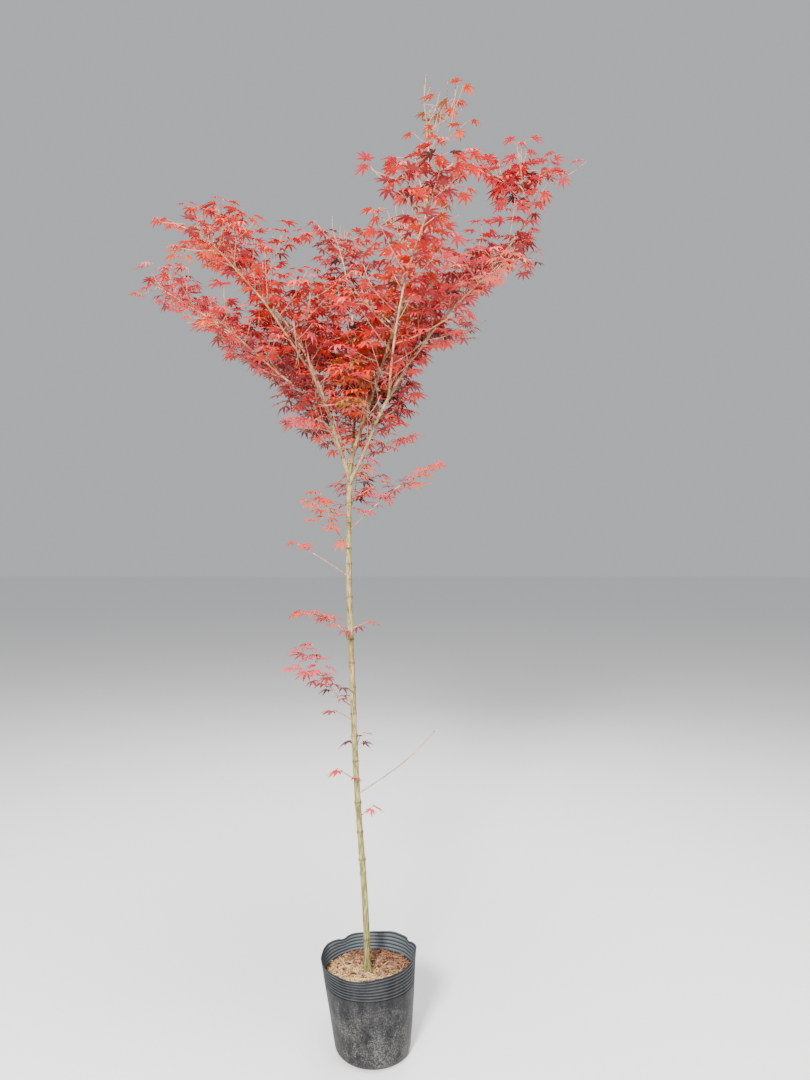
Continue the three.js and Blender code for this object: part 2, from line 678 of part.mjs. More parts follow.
// A shoot on the trunk, with leaves round its tip and further back
function shootGeometry(shoot) {
  const stem = limbs[shoot.name];
  const mass = {
    name: shoot.name,
    pieces: [stemGeometry(stem.points, stem.radii, STEM_SIDES, stem.face)],
    blades: [],
    random: seeded(shoot.seed + LEAF_SEED),
    hasRoom: () => true,
  };
  for (let i = 0; i < shoot.leaves; i += 1) {
    const share = SHOOT_LEAVES_FROM - SHOOT_LEAF_STEP * i;
    addLeaf(mass, placeOn(stem, share).point, shoot.headings.at(-1) + SHOOT_LEAF_TURN * i);
  }
  return fuse(mass.pieces);
}

// Materials
const finish = (color, roughness) => new THREE.MeshStandardMaterial({ color, roughness, metalness: 0 });
const potPlastic = finish(0x2b2d2e, 0.55);
const pottingMix = finish(0x9c7757, 0.95);
const trunkBark = finish(0xb09a76, 0.8);
const boughBark = finish(0xb48a6c, 0.75);
const redLeaf = finish(0xc8584a, 0.6);
const orangeLeaf = finish(0xd87a52, 0.6);

const plant = new THREE.Group();
function place(name, geometry, material) {
  const mesh = new THREE.Mesh(geometry, material);
  mesh.name = name;
  plant.add(mesh);
}

place("pot", potGeometry(), potPlastic);
place("potting_mix", mixGeometry(), pottingMix);
place("trunk", trunkGeometry(limbs.trunk), trunkBark);
for (const bough of BOUGHS) {
  const limb = limbs[bough.name];
  place(bough.name, stemGeometry(limb.points, limb.radii, BOUGH_SIDES, limb.face), boughBark);
}
for (const spray of SPRAYS) {
  place(spray.name, sprayGeometry(spray), redLeaf);
}
for (const shoot of SHOOTS) {
  place(shoot.name, shootGeometry(shoot), orangeLeaf);
}

export default plant;
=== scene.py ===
import math
from collections import namedtuple

import bpy
import numpy as np
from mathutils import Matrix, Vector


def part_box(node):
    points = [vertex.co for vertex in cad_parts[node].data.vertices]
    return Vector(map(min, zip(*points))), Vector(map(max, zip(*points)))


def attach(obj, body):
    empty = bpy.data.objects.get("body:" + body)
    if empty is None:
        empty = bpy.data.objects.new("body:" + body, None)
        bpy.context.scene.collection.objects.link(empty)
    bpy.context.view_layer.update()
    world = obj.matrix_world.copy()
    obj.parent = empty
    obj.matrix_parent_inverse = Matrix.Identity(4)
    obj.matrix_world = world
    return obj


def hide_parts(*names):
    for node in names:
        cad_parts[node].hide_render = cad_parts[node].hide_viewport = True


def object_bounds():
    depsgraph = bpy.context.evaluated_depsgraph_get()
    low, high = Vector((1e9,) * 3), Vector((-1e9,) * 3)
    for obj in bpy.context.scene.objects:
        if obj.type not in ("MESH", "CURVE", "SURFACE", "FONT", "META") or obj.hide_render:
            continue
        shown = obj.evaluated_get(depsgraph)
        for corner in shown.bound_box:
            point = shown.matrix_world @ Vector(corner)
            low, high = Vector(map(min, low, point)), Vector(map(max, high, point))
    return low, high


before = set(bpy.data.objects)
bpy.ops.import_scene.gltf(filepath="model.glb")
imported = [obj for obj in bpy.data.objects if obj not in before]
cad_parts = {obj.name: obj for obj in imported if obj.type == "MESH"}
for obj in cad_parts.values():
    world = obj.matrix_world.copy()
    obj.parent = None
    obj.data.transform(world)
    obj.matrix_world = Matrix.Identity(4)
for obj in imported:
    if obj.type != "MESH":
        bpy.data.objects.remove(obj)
cad_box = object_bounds()

# A young palmate maple in a soft black nursery pot. Lengths are millimetres until a mesh is made, and
# angles are degrees unless a comment says radians. The limbs and the growth rule are those of the
# solids, carried on to finer twigs and true-size leaves.
MM = 0.001
GAP = 0.3
NEARLY_UPRIGHT = 0.9

# Pot
POT_HEIGHT = 257
RIM_RADIUS = 130
BASE_RADIUS = 100
POT_WALL = 1.8
FOOT_ROUND = 28
FOOT_ARC_STEPS = 12
RIM_SLUMP = -13
RIM_TILT = 9
RIM_TILT_TOWARD = 20
RIM_BEND = 4
WAVE_STARTS = 150
RIM_BAND = 3
RIM_EDGE = 0.5
RIB_COUNT = 7
RIB_PITCH = 8.7
RIB_DEPTH = 2
RIB_MARGIN = 2
WALL_STEP = 5
RIBBED_STEP = 1.1
INNER_ENDS = 150
POT_SIDES = 240

# Waves round the pot: height, number of them, climb from foot to rim and shift, both in radians
WALL_WAVES = [(0.9, 2, 3, 0.6), (0.6, 5, -4, 2)]
FINE_WAVE = 0.35
RIM_WAVES_INWARD = [(1.3, 7, 0, 1), (0.8, 12, 0, 0)]
RIM_WAVES_UPWARD = [(0.9, 5, 0, 2), (0.6, 13, 0, 1)]
# Dents in the wall: heading, share of the height, depth, half-width in radians, half-height as a share
WALL_DENTS = [
    (-112, 0.62, 2.2, 0.35, 0.16),
    (-60, 0.4, 1.6, 0.3, 0.2),
    (-150, 0.35, 1.8, 0.28, 0.14),
    (40, 0.5, 2.0, 0.4, 0.2),
    (150, 0.6, 2.4, 0.3, 0.2),
]
# Creases of the rim: heading, half-width in radians, depth, drop
CREASE_STARTS = 205
DROP_WIDTH = 0.7
RIM_CREASES = [
    (128, 0.16, 7, 4),
    (150, 0.1, -4, 1),
    (98, 0.22, -3, 2),
    (28, 0.12, 4, 3),
    (-70, 0.3, 3, 2),
    (-140, 0.2, -2, -1),
]

# Potting mix, with the husk chips and coir fibres on it. Each lump of the mix is a height, then a
# width and a shift in radians across the pot, and the same two again from front to back.
MIX_TOP = 218
MIX_EDGE_HEIGHT = 209.0
MIX_UNDERSIDE = 180.0
MIX_CLEARANCE = 0.4
MIX_FOOT_SHARE = 0.97
MIX_RINGS = 40
MIX_SIDES = 160
MIX_DIP = 9
MIX_DIP_FROM = 50
MIX_DIP_OVER = 72
MIX_DIP_POWER = 1.6
MIX_LUMPS = [(1.6, 13, 1, 11, 0), (1.2, 5.3, 0, 6.1, 2)]
LUMP_SCALE = 0.8
LITTER_RADIUS = 113
LITTER_REACH = 117
GOLD_TOWARD = (-0.5, -0.87)
CHIP_COUNT = 1150
CHIP_SEED = 81
CHIP_LENGTH = (5, 18)
CHIP_WIDTH = (0.12, 0.32)
CHIP_THICKNESS = (0.6, 1.9)
CHIP_TILT = (-34, 34)
CHIP_ROLL = (-50, 50)
CHIP_BEVEL = 0.25
CHIP_TAPER = 0.2
CHIP_ROUGHNESS = 0.2
CHIP_LIFT = 0.2
FIBRE_COUNT = 700
FIBRE_SEED = 82
FIBRE_BEND = (-80, 80)
FIBRE_RISES = [(2, 24), (-26, 6)]
FIBRE_LENGTH = (14, 38)
FIBRE_THICKNESS = (0.5, 1.5)
FIBRE_TAPER = np.array([0.6, 1, 1, 0.9, 0.4])
FIBRE_LIFT = 0.5

# Trunk
TRUNK_FOOT = (-15, -20, MIX_TOP + GAP)
TRUNK_LENGTH = 1372
TRUNK_HEADINGS = [174]
TRUNK_RISES = [89.5, 86.5, 85.2, 86.6, 88, 87.4, 88.6, 90.4, 91.8]
TRUNK_RADII = [8.6, 8.4, 8.1, 7.9, 7.7, 7.4, 7.1, 7]
FLARE_RADIUS = 11.5
FLARE_HEIGHT = 45
TRUNK_STEPS = 40
NODE_HEIGHTS = [85, 262, 297, 450, 562, 690, 890, 1005, 1095, 1180, 1262]
LESSER_NODES = [372, 628, 760, 826, 950, 1052, 1138, 1222, 1312]
NODE_SWELL = 0.9
NODE_HALF_LENGTH = 7

# Bark of the trunk and boughs as drawn: bud rings, leaf scars, collars and a slight unevenness.
# The turns of the root ridges, scars and ripple are in radians.
TRUNK_RING_STEP = 2.6
TRUNK_SIDES = 32
TRUNK_SEED = 5
ROOT_RIDGES = 3
ROOT_RIDGE_HEIGHT = 1.6
ROOT_RIDGE_TURN = 0.8
RING_WIDTH = 5.5
RIDGE_HEIGHT = 0.75
RIDGE_WIDTH = 1.4
GROOVE_DEPTH = 0.5
GROOVE_WIDTH = 1.3
RING_STRENGTH = (0.8, 1.3)
RING_LINE_RISE = 2.4
RING_LINE_WIDTH = 2.2
RING_LINE_SHARES = [1, 0.45, 0.8, 0.6, 0.9]
SCAR_RISE = 3.2
SCAR_HEIGHT = 1.5
SCAR_WIDTH = 3.4
SCAR_SHARPNESS = 6
SCAR_TURN = 0.5
UNEVENNESS = 0.028
RIPPLE_LENGTH = 400
RIPPLE_WAVES = 6
RIPPLE_GROWTH = 2.3
RIPPLE_VARIES = (0.8, 1.2)
RIPPLE_TURN = 6.28
RIPPLE_SEED_STEP = 7
BOUGH_RING_STEP = 4.5
BOUGH_SIDES = 16
BOUGH_SEED = 40
BOUGH_NODE_SEED = 200
BOUGH_FIRST_NODE = (30, 60)
BOUGH_NODE_SPACING = (46, 88)
BOUGH_LAST_NODE = 25
COLLAR_SWELL = 0.75
COLLAR_REACH = 15

# The stub of a lost twig on the left bough
KNOT_ON = ("bough_left", 0.19)
KNOT_HEADING = 200
KNOT_RISE = 20
KNOT_LENGTH = 17
KNOT_RADII = [4.4, 3.4, 2.7, 2.3, 2.2]

# Boughs, each at a share of the length of the limb that bears it
Bough = namedtuple("Bough", "name on at length radii headings rises tints")
BOUGH_STEP = 62
BOUGHS = [Bough(*row) for row in [
    ("leader", "trunk", 1, 800, [5.4, 2.6], [8, 6, 5], [74, 71, 72, 72, 76, 88], "orange olive"),
    ("bough_left", "trunk", 0.975, 650, [4.8, 2.5], [160, 157, 160, 165], [68, 72, 68, 58, 49, 48],
     "scarlet orange"),
    ("bough_right", "trunk", 0.962, 800, [4.8, 2.4], [336, 342, 347, 353],
     [58, 68, 59, 55, 48, 43, 48, 54], "rose scarlet"),
    ("bough_back", "trunk", 0.99, 740, [4.2, 2.4], [82, 98, 110], [56, 68, 66, 62, 58],
     "crimson rose"),
    ("bough_left_inner", "bough_left", 0.84, 130, [2.6, 2.2], [222, 204], [46, 62], "scarlet orange"),
    ("bough_left_outer", "bough_left", 0.3, 370, [3.3, 2.2], [206, 194, 186], [20, 38, 40, 32],
     "rose scarlet"),
    ("bough_left_low", "bough_left", 0.12, 560, [3.4, 2.2], [128, 150, 160], [34, 42, 37, 37, 42],
     "crimson scarlet"),
    ("bough_front_left", "bough_left", 0.42, 330, [3.1, 2.2], [248, 236, 232], [20, 38, 40, 30],
     "scarlet orange"),
    ("bough_front_right", "bough_right", 0.3, 400, [3.1, 2.2], [272, 284, 296], [22, 50, 54, 44],
     "scarlet rose"),
    ("bough_back_right", "leader", 0.2, 480, [3.4, 2.2], [72, 56, 44], [28, 50, 52, 44],
     "crimson scarlet"),
]]

# Masses of foliage. Each has a space of its own, spread wide and layer tall, round its stem.
Mass = namedtuple("Mass", "name on at reach spread layer pairs headings rises seed tints")
STEM_RADIUS = 2.8
STEM_TIP_RADIUS = 2.2
STEM_STEPS = 4
SPACE_CENTRE = 0.68
MASSES = [Mass(*row) for row in [
    ("spray_leader_tip", "leader", 1, 245, 165, 240, 4, [20], [86, 92, 100], 3, "orange olive"),
    ("spray_leader_side", "leader", 0.94, 125, 150, 165, 2, [238, 222], [58, 78], 5, "olive orange"),
    ("spray_leader_right", "leader", 0.86, 140, 160, 150, 2, [350, 5], [52, 62], 7, "orange olive"),
    ("spray_leader_left", "leader", 0.76, 130, 160, 140, 2, [172, 178], [52, 60], 9, "olive orange"),
    ("spray_leader_back", "leader", 0.8, 160, 175, 145, 2, [88, 84], [44, 48], 11, "scarlet orange"),
    ("spray_leader_front", "leader", 0.66, 150, 175, 145, 2, [292, 284], [44, 48], 13, "orange salmon"),
    ("spray_leader_low", "leader", 0.5, 160, 175, 135, 3, [156, 168], [46, 40], 15, "rose olive"),
    ("spray_leader_foot", "leader", 0.26, 130, 150, 110, 2, [262, 268], [24, 18], 17, "orange olive"),
    ("spray_left_tip", "bough_left", 1, 190, 195, 160, 3, [166, 176], [46, 36], 19, "scarlet orange"),
    ("spray_left_inner", "bough_left_inner", 1, 150, 175, 150, 3, [204, 225], [62, 54], 21,
     "scarlet orange"),
    ("spray_left_outer", "bough_left_outer", 1, 170, 190, 150, 3, [186, 182], [32, 30], 23,
     "rose scarlet"),
    ("spray_left_low", "bough_left_low", 1, 200, 195, 165, 4, [162, 172], [44, 48], 25, "scarlet rose"),
    ("spray_left_mid", "bough_left", 0.66, 180, 175, 135, 3, [330, 318], [34, 28], 27, "scarlet orange"),
    ("spray_left_back", "bough_left", 0.58, 190, 190, 140, 3, [96, 112], [28, 28], 29, "crimson rose"),
    ("spray_outer_side", "bough_left_outer", 0.62, 160, 170, 125, 2, [246, 236], [18, 20], 31,
     "scarlet orange"),
    ("spray_low_side", "bough_left_low", 0.6, 180, 175, 135, 3, [92, 102], [24, 26], 33, "crimson dusk"),
    ("spray_right_tip", "bough_right", 1, 195, 200, 165, 4, [354, 2], [54, 50], 35, "rose scarlet"),
    ("spray_right_upper", "bough_right", 0.82, 185, 185, 140, 3, [72, 66], [28, 32], 37,
     "crimson scarlet"),
    ("spray_right_mid", "bough_right", 0.66, 185, 185, 135, 3, [300, 312], [16, 22], 39, "salmon rose"),
    ("spray_right_back", "bough_right", 0.52, 170, 170, 125, 2, [74, 62], [24, 22], 41, "crimson dusk"),
    ("spray_right_foot", "bough_right", 0.22, 115, 130, 105, 2, [236, 244], [14, 14], 43,
     "orange olive"),
    ("spray_back_tip", "bough_back", 1, 220, 210, 170, 4, [110, 118], [58, 52], 45, "scarlet rose"),
    ("spray_back_side", "bough_back", 0.78, 150, 185, 135, 3, [8, 354], [22, 22], 47, "crimson rose"),
    ("spray_front_left_tip", "bough_front_left", 1, 195, 200, 150, 3, [232, 240], [30, 24], 49,
     "scarlet orange"),
    ("spray_front_right_tip", "bough_front_right", 1, 215, 205, 160, 3, [296, 290], [44, 40], 51,
     "scarlet rose"),
    ("spray_back_right_tip", "bough_back_right", 1, 225, 210, 170, 4, [44, 38], [44, 44], 53,
     "crimson scarlet"),
]]

# Shoots on the trunk, with a number of pairs of leaves
Shoot = namedtuple("Shoot", "name at reach headings rises pairs seed tints")
SHOOT_RADIUS = 2.2
TWIG_RADIUS = 1.9
SHOOTS = [Shoot(*row) for row in [
    ("shoot_bare_right", 0.345, 270, [340, 350], [34, 38, 52], 0, 61, "crimson"),
    ("shoot_bud_low", 0.3, 34, [330], [40], 1, 62, "rose"),
    ("shoot_bud_mid", 0.372, 44, [215], [34], 2, 63, "rose scarlet"),
    ("shoot_bud_back", 0.43, 40, [75], [36], 2, 64, "crimson"),
    ("shoot_bud_left", 0.49, 44, [196], [30], 2, 65, "rose crimson"),
    ("shoot_left_low", 0.515, 200, [186], [34, 60, 80], 4, 66, "rose crimson"),
    ("shoot_left_arch", 0.655, 135, [184], [46, 26, 4], 4, 67, "scarlet rose"),
    ("shoot_right_bud", 0.67, 40, [345], [24], 2, 68, "rose"),
    ("shoot_left_thin", 0.775, 160, [176], [34, 30], 1, 69, "scarlet"),
    ("shoot_left_leafy", 0.825, 165, [208, 200], [56, 70], 5, 70, "orange olive"),
    ("shoot_right_high", 0.865, 285, [344, 352], [44, 38, 26], 5, 71, "orange rose"),
    ("shoot_back", 0.9, 190, [80, 92], [36, 44], 4, 72, "crimson rose"),
]]

# The source's growth rule for side twigs
FIRST_PAIR = 0.3
PAIRS_SPAN = 0.58
TWIG_TURN = (46, 72)
TWIG_RISE = 8
TWIG_TWIST = 18
TWIG_RISE_RANGE = 26
TWIG_LENGTH = 0.52
TWIG_TAPER = 0.22
TWIG_VARIES = (0.85, 1.25)

# The same rule carried on: leaf pairs at the nodes of every twig, finer twigs and upright shoots.
# FINER_ON and UPRIGHTS_ON are steps along a twig. BRANCHED_AT holds sides and shares of a shoot.
FINE_SEED = 900
CARRIED_ON = 1.12
TWIG_STEPS = 4
TWIG_SIDES = 5
TWIG_BEND = -6
SHORTENED = (1, 0.75, 0.5)
NODE_SPACING = 49
SHOOT_SPACING = 33
INNER_SPACING = 42
NODE_VARIES = (0.85, 1.2)
BARE_TIP = 0.3
PAIR_TURN = (68, 104)
TIP_TURN = 40
TIP_LEAF_SCALE = 0.86
STEEP = 0.8
FINER_ON = 3
FINE_TWIG_LENGTH = (48, 104)
FINE_TURN = (34, 58)
ONWARD_TURN = -26
ONWARD_LENGTH = (52, 96)
ONWARD_RISE = (-22, -4)
UPRIGHTS_ON = (2, 3)
UPRIGHT_SHARE = 0.55
UPRIGHT_TURN = (-60, 60)
UPRIGHT_LENGTH = (56, 140)
UPRIGHT_RISE = (50, 68)
STEM_UPRIGHTS_FROM = 0.22
STEM_UPRIGHTS_SPAN = 0.7
STEM_UPRIGHT_TURN = (-90, 90)
SHOOT_FOOT_BARE = 8
BRANCHED_PAIRS = 4
BRANCHED_AT = [(-1, 0.35), (1, 0.55), (-1, 0.75)]
BOUGH_LEAF_SEED = 400
BOUGH_LEAVES = (0.06, 0.99)
BOUGH_UPRIGHTS_TO = 0.75
BOUGH_FINER_TO = 0.6
BOUGH_TWIG_SPACING = (15, 32)
BOUGH_TWIG_TURN = (40, 110)
BOUGH_TWIG_RISE = (16, 56)
BOUGH_TWIG_LENGTH = (80, 205)
BOUGH_TWIG_SHARES = (1.15, 0.72)
TRUNK_LEAF_SEED = 399
TRUNK_LEAF_TINTS = "orange olive"
TRUNK_LEAF_HEADINGS = [150, 330]
TRUNK_LEAVES = (0.93, 0.99)
LEAF_OVERHANG = 14
TOP_OVERHANG = 4
LIMB_CLEARANCE = 3

# Kinds of twigs: where the first pair of leaves stands, the spacing of the pairs, the size of the
# leaves, the upward turn, and the radii from foot to tip. The first two kinds say only how a stem or
# shoot is leafed, and each shoot gives its own first pair.
Kind = namedtuple("Kind", "first spacing scale lift radii")
FINE_RADII = (1.1, 0.65)
STEM = Kind(NODE_SPACING * 0.8, NODE_SPACING, 1, None, None)
SHOOT = Kind(None, SHOOT_SPACING, 1, None, None)
SOURCE_TWIG = Kind(NODE_SPACING * 0.7, NODE_SPACING, 1, 22, (1.5, 0.9))
FINER_TWIG = Kind(NODE_SPACING * 0.8, NODE_SPACING, 0.94, 22, FINE_RADII)
UPRIGHT_TWIG = Kind(28, NODE_SPACING, 0.94, 24, FINE_RADII)
ONWARD_TWIG = Kind(NODE_SPACING * 0.5, NODE_SPACING, 0.94, 8, FINE_RADII)
SHOOT_TWIG = Kind(SHOOT_SPACING * 0.6, SHOOT_SPACING, 1, 22, FINE_RADII)
INNER_TWIG = Kind(INNER_SPACING * 0.6, INNER_SPACING, 1, 22, FINE_RADII)
FINER_INNER_TWIG = Kind(INNER_SPACING, INNER_SPACING, 1, 22, FINE_RADII)

# The lower boughs stay in sight from the front: no leaf sits on a line from the eye to them
EYE = (86, -2147, 1325)
IN_SIGHT = [("leader", 0.6), ("bough_left", 0.8), ("bough_right", 0.7)]
SIGHT_POINTS = 40
SIGHT_WIDTH = 22

# Bare twig tips that stand out of the top of a mass
PRONGS = {
    "spray_leader_tip": 3,
    "spray_left_tip": 2,
    "spray_left_low": 1,
    "spray_right_tip": 2,
    "spray_back_tip": 1,
}
PRONG_TURN = (-80, 80)
PRONG_LENGTH = (42, 76)
PRONG_RISE = (66, 88)
PRONG_STEPS = 3
PRONG_BUD_RISE = 80

# Stems and buds as drawn, with radii from foot to tip
STEM_SPACING = 8
STEM_SIDES = 8
STEM_FOOT_SWELL = 1.3
SHOOT_FOOT_SWELL = 1.4
STEM_DRAWN_RADII = (2.5, 1.2)
SHOOT_DRAWN_RADII = (1.7, 0.9)
BUD_LENGTH = 4
LARGE_BUD_LENGTH = 5
BUD_STATIONS = (0, 0.35, 0.7, 1)
BUD_RADII = np.array([0.3, 0.42, 0.28, 0.04])

# Leaves: seven pointed lobes on a thin stalk. LEAF_SPACING is for the crown and for its open top.
LOBE_ANGLES = [-120, -76, -37, 0, 37, 76, 120]
LOBE_SHARES = [0.4, 0.74, 0.93, 1, 0.93, 0.74, 0.4]
LOBE_ROOT_SHARE = 0.28
LOBE_ROOT_DIP = -0.02
LOBE_STATIONS = [0.46, 0.64, 0.82]
LOBE_WIDTHS = [0.12, 0.102, 0.056]
LOBE_FOLD = (0.25, 0.6)
LOBE_TURN = (-4, 4)
LOBE_VARIES = (0.9, 1.06)
LOBE_LIFT = (-0.1, 0.1)
LOBE_CURL = (-9, 9)
NOTCH_SHARE = 0.3
NOTCH_SHARES = (0.45, 1)
BASE_NOTCH_SHARE = 0.13
BASE_NOTCH_TURN = 28
TEMPLATE_COUNT = 8
TEMPLATE_SEED = 300
TEMPLATE_DROOP = (0.1, 0.5)
TEMPLATE_CUP = (-0.12, 0.16)
LOBE_TIPS = np.array([[1, 0, -0.3], [0.18, 0.72, -0.15], [0.18, -0.72, -0.15]])
BLADE_MIDDLE = 0.4
BLADE_TURN = (-16, 16)
STALK_RADII = 0.45 * np.array([1.7, 1, 1, 1.1])
STALK_SIDES = 4
STALK_LENGTH = (14, 28)
STALK_RISE = (0, 34)
STALK_ARCH = 0.1
STALK_BENDS = (0.35, 0.7)
STALK_LOWER_ARCH = 0.8
LEAF_SIZE = (28, 43)
LEAF_DROOP = (-14, 24)
LEAF_ROLL = (-15, 15)
LEAF_SPACING = (20, 56)
OPEN_HEIGHTS = (2300, 2560)
LEADER_OPEN_HEIGHTS = (2080, 2240)
SMALL_LEAVED = ["bough_left", "bough_left_inner", "bough_left_outer", "bough_left_low", "bough_front_left"]
SMALL_LEAF_SCALE = 0.86
LEAF_TRIES = 3
RETRY_TURN = (-30, 30)
NEAR_BLADES = 260

# Tints of the leaves, as plain base colours, and the deeper tint that some leaves of each twig take:
# painted shade, darker toward the foot of each twig inside the crown. Dusk is a painted shade colour.
TINTS = {
    "scarlet": (0.62, 0.034, 0.022),
    "orange": (0.74, 0.08, 0.014),
    "salmon": (0.76, 0.14, 0.085),
    "rose": (0.62, 0.05, 0.068),
    "crimson": (0.31, 0.03, 0.034),
    "dusk": (0.1, 0.018, 0.017),
    "olive": (0.4, 0.16, 0.03),
}
SHADED_TINT = {
    "orange": "scarlet",
    "salmon": "rose",
    "scarlet": "crimson",
    "rose": "crimson",
    "crimson": "dusk",
    "olive": "orange",
    "dusk": "dusk",
}
FIRST_TINT_SHARE = 0.68
# How many steps of painted shade the leaves of a twig may take, at its foot and at its tip
SHADE_DEPTHS = (2.4, 1.5)

# Colours of the bark: base, pale, dark, its greener tint, and the share of the limb that is greener
TRUNK_COLOURS = ((0.24, 0.172, 0.066), (0.55, 0.405, 0.185), (0.065, 0.04, 0.018), (0.76, 0.98, 0.8), 0.5)
BOUGH_COLOURS = ((0.37, 0.19, 0.1), (0.58, 0.37, 0.22), (0.13, 0.055, 0.03), (0.68, 0.93, 0.76), 0.16)

# Floor, camera and light, with the floor and the lights in metres. Each light has a name, a place,
# the point it looks at, a size, a power and a colour.
FLOOR_HALF = 60
CAMERA_TILT = 91.469
SKY_COLOUR = (0.96, 0.98, 1.0, 1)
SKY_STRENGTH = 0.52
LIGHTS = [
    ("key", (-1.0, -4.0, 3.3), (0.1, 0, 1.8), 0.8, 640, (1, 0.98, 0.95)),
    ("top", (0.3, -0.8, 5.4), (0, 0, 0.5), 2.4, 360, (1, 0.985, 0.96)),
    ("back", (0.6, 2.8, 3.6), (0, 0, 1.6), 2.0, 90, (1, 1, 1)),
]


def seeded(seed):
    """A repeatable stream of numbers from 0 to 1."""
    modulus = 2147483647
    state = (seed * 7919 + 104729) % modulus

    def draw():
        nonlocal state
        state = (state * 16807) % modulus
        return state / modulus

    draw()
    draw()
    return draw


def between(ends, share):
    return ends[0] + (ends[1] - ends[0]) * share


def along(values, share):
    """The value at a share from 0 to 1 along an evenly spaced list."""
    place = min(max(share, 0), 1) * (len(values) - 1)
    before = min(math.floor(place), max(len(values) - 2, 0))
    after = min(before + 1, len(values) - 1)
    return values[before] + (values[after] - values[before]) * (place - before)


def direction(heading, rise):
    level = math.cos(math.radians(rise))
    return np.array([
        level * math.cos(math.radians(heading)),
        level * math.sin(math.radians(heading)),
        math.sin(math.radians(rise)),
    ])


def unit(vector):
    return vector / np.linalg.norm(vector)


def bump(distance, width):
    return np.exp(-(distance / width) ** 2)


def turns_of(sides):
    """The angles of the corners of a ring, in radians."""
    return 2 * np.pi * np.arange(sides) / sides


# Limbs
Limb = namedtuple("Limb", "points radii")


def grow(start, length, headings, rises, steps):
    """A path of even steps whose heading and rise change along it."""
    points = [np.array(start, float)]
    for i in range(steps):
        share = (i + 0.5) / steps
        way = direction(along(headings, share), along(rises, share))
        points.append(points[-1] + way * (length / steps))
    return np.array(points)


def trunk_radius(height):
    """The solid trunk's radius, from which the boughs and shoots start."""
    flare = max(0, 1 - height / FLARE_HEIGHT)
    plain = along(TRUNK_RADII, height / TRUNK_LENGTH)
    off_node = min(abs(height - node) for node in NODE_HEIGHTS)
    swell = NODE_SWELL * max(0, 1 - off_node / NODE_HALF_LENGTH)
    return plain + swell + (FLARE_RADIUS - TRUNK_RADII[0]) * flare * flare


def place_on(name, share):
    """The point, direction and radius at a share of a limb's length."""
    points, radii = limbs[name]
    place = min(share, 1) * (len(points) - 1)
    before = min(math.floor(place), len(points) - 2)
    step = points[before + 1] - points[before]
    radius = trunk_radius(share * TRUNK_LENGTH) if name == "trunk" else along(radii, share)
    return points[before] + step * (place - before), unit(step), radius


def foot_on(name, share, heading, rise):
    """Where a stem leaves a limb: off its end, or off its side."""
    point, way, radius = place_on(name, share)
    if share == 1:
        return point + way * GAP
    out = direction(heading, rise)
    face = unit(out - way * out.dot(way))
    return point + out * ((radius + GAP) / out.dot(face))


def add_limb(row, on, length, steps, radii):
    """Grows a bough, stem or shoot off the limb that bears it."""
    foot = foot_on(on, row.at, row.headings[0], row.rises[0])
    limbs[row.name] = Limb(grow(foot, length, row.headings, row.rises, steps), radii)


trunk_points = grow(TRUNK_FOOT, TRUNK_LENGTH, TRUNK_HEADINGS, TRUNK_RISES, TRUNK_STEPS)
limbs = {"trunk": Limb(trunk_points, TRUNK_RADII)}
for bough in BOUGHS:
    add_limb(bough, bough.on, bough.length, math.floor(bough.length / BOUGH_STEP + 0.5), bough.radii)
for mass in MASSES:
    add_limb(mass, mass.on, mass.reach, STEM_STEPS, [STEM_RADIUS, STEM_TIP_RADIUS])
for shoot in SHOOTS:
    add_limb(shoot, "trunk", shoot.reach, len(shoot.rises) + 1, [SHOOT_RADIUS, TWIG_RADIUS])

centres = np.array([place_on(mass.name, SPACE_CENTRE)[0] for mass in MASSES])
spreads = np.array([mass.spread for mass in MASSES], float)
layers = np.array([mass.layer for mass in MASSES], float)


def has_room(index, points):
    """True where every point lies in a mass's own space, on its own side of every neighbour."""
    away = points - centres[index]
    level = (away[:, 0] ** 2 + away[:, 1] ** 2) / spreads[index] ** 2
    if np.any(level + away[:, 2] ** 2 / layers[index] ** 2 > 1):
        return False
    others = np.arange(len(centres)) != index
    toward = centres[others] - centres[index]
    apart = np.linalg.norm(toward, axis=1)
    border = apart * spreads[index] / (spreads[index] + spreads[others])
    return bool(np.all((away @ toward.T) / apart < border - GAP))


stretches = [
    (name, limb.radii[0], limb.points[i], limb.points[i + 1])
    for name, limb in limbs.items() for i in range(len(limb.points) - 1)
]
stretch_owner, stretch_radius, stretch_from, stretch_to = map(np.array, zip(*stretches))


def clear_of_limbs(own, points):
    """True where every point is off every limb but its own."""
    others = stretch_owner != own
    start = stretch_from[others]
    step = stretch_to[others] - start
    offset = points[:, None, :] - start[None, :, :]
    share = np.clip((offset * step).sum(2) / (step * step).sum(1), 0, 1)
    distance = np.linalg.norm(offset - share[:, :, None] * step, axis=2)
    return bool(np.all(distance - stretch_radius[others] > LIMB_CLEARANCE))


# Mesh making
class Bag:
    """Gathers the vertices, faces and face coordinates of many small meshes into one piece."""

    def __init__(self):
        self.vertices = []
        self.faces = []
        self.corners = []
        self.count = 0

    def add(self, vertices, faces, corners=None):
        self.vertices.append(vertices)
        self.faces.extend(tuple(corner + self.count for corner in face) for face in faces)
        if corners is not None:
            self.corners.append(corners)
        self.count += len(vertices)
        return self


def add_object(name, data):
    """Puts a mesh, light or camera into the scene."""
    added = bpy.data.objects.new(name, data)
    bpy.context.collection.objects.link(added)
    return added


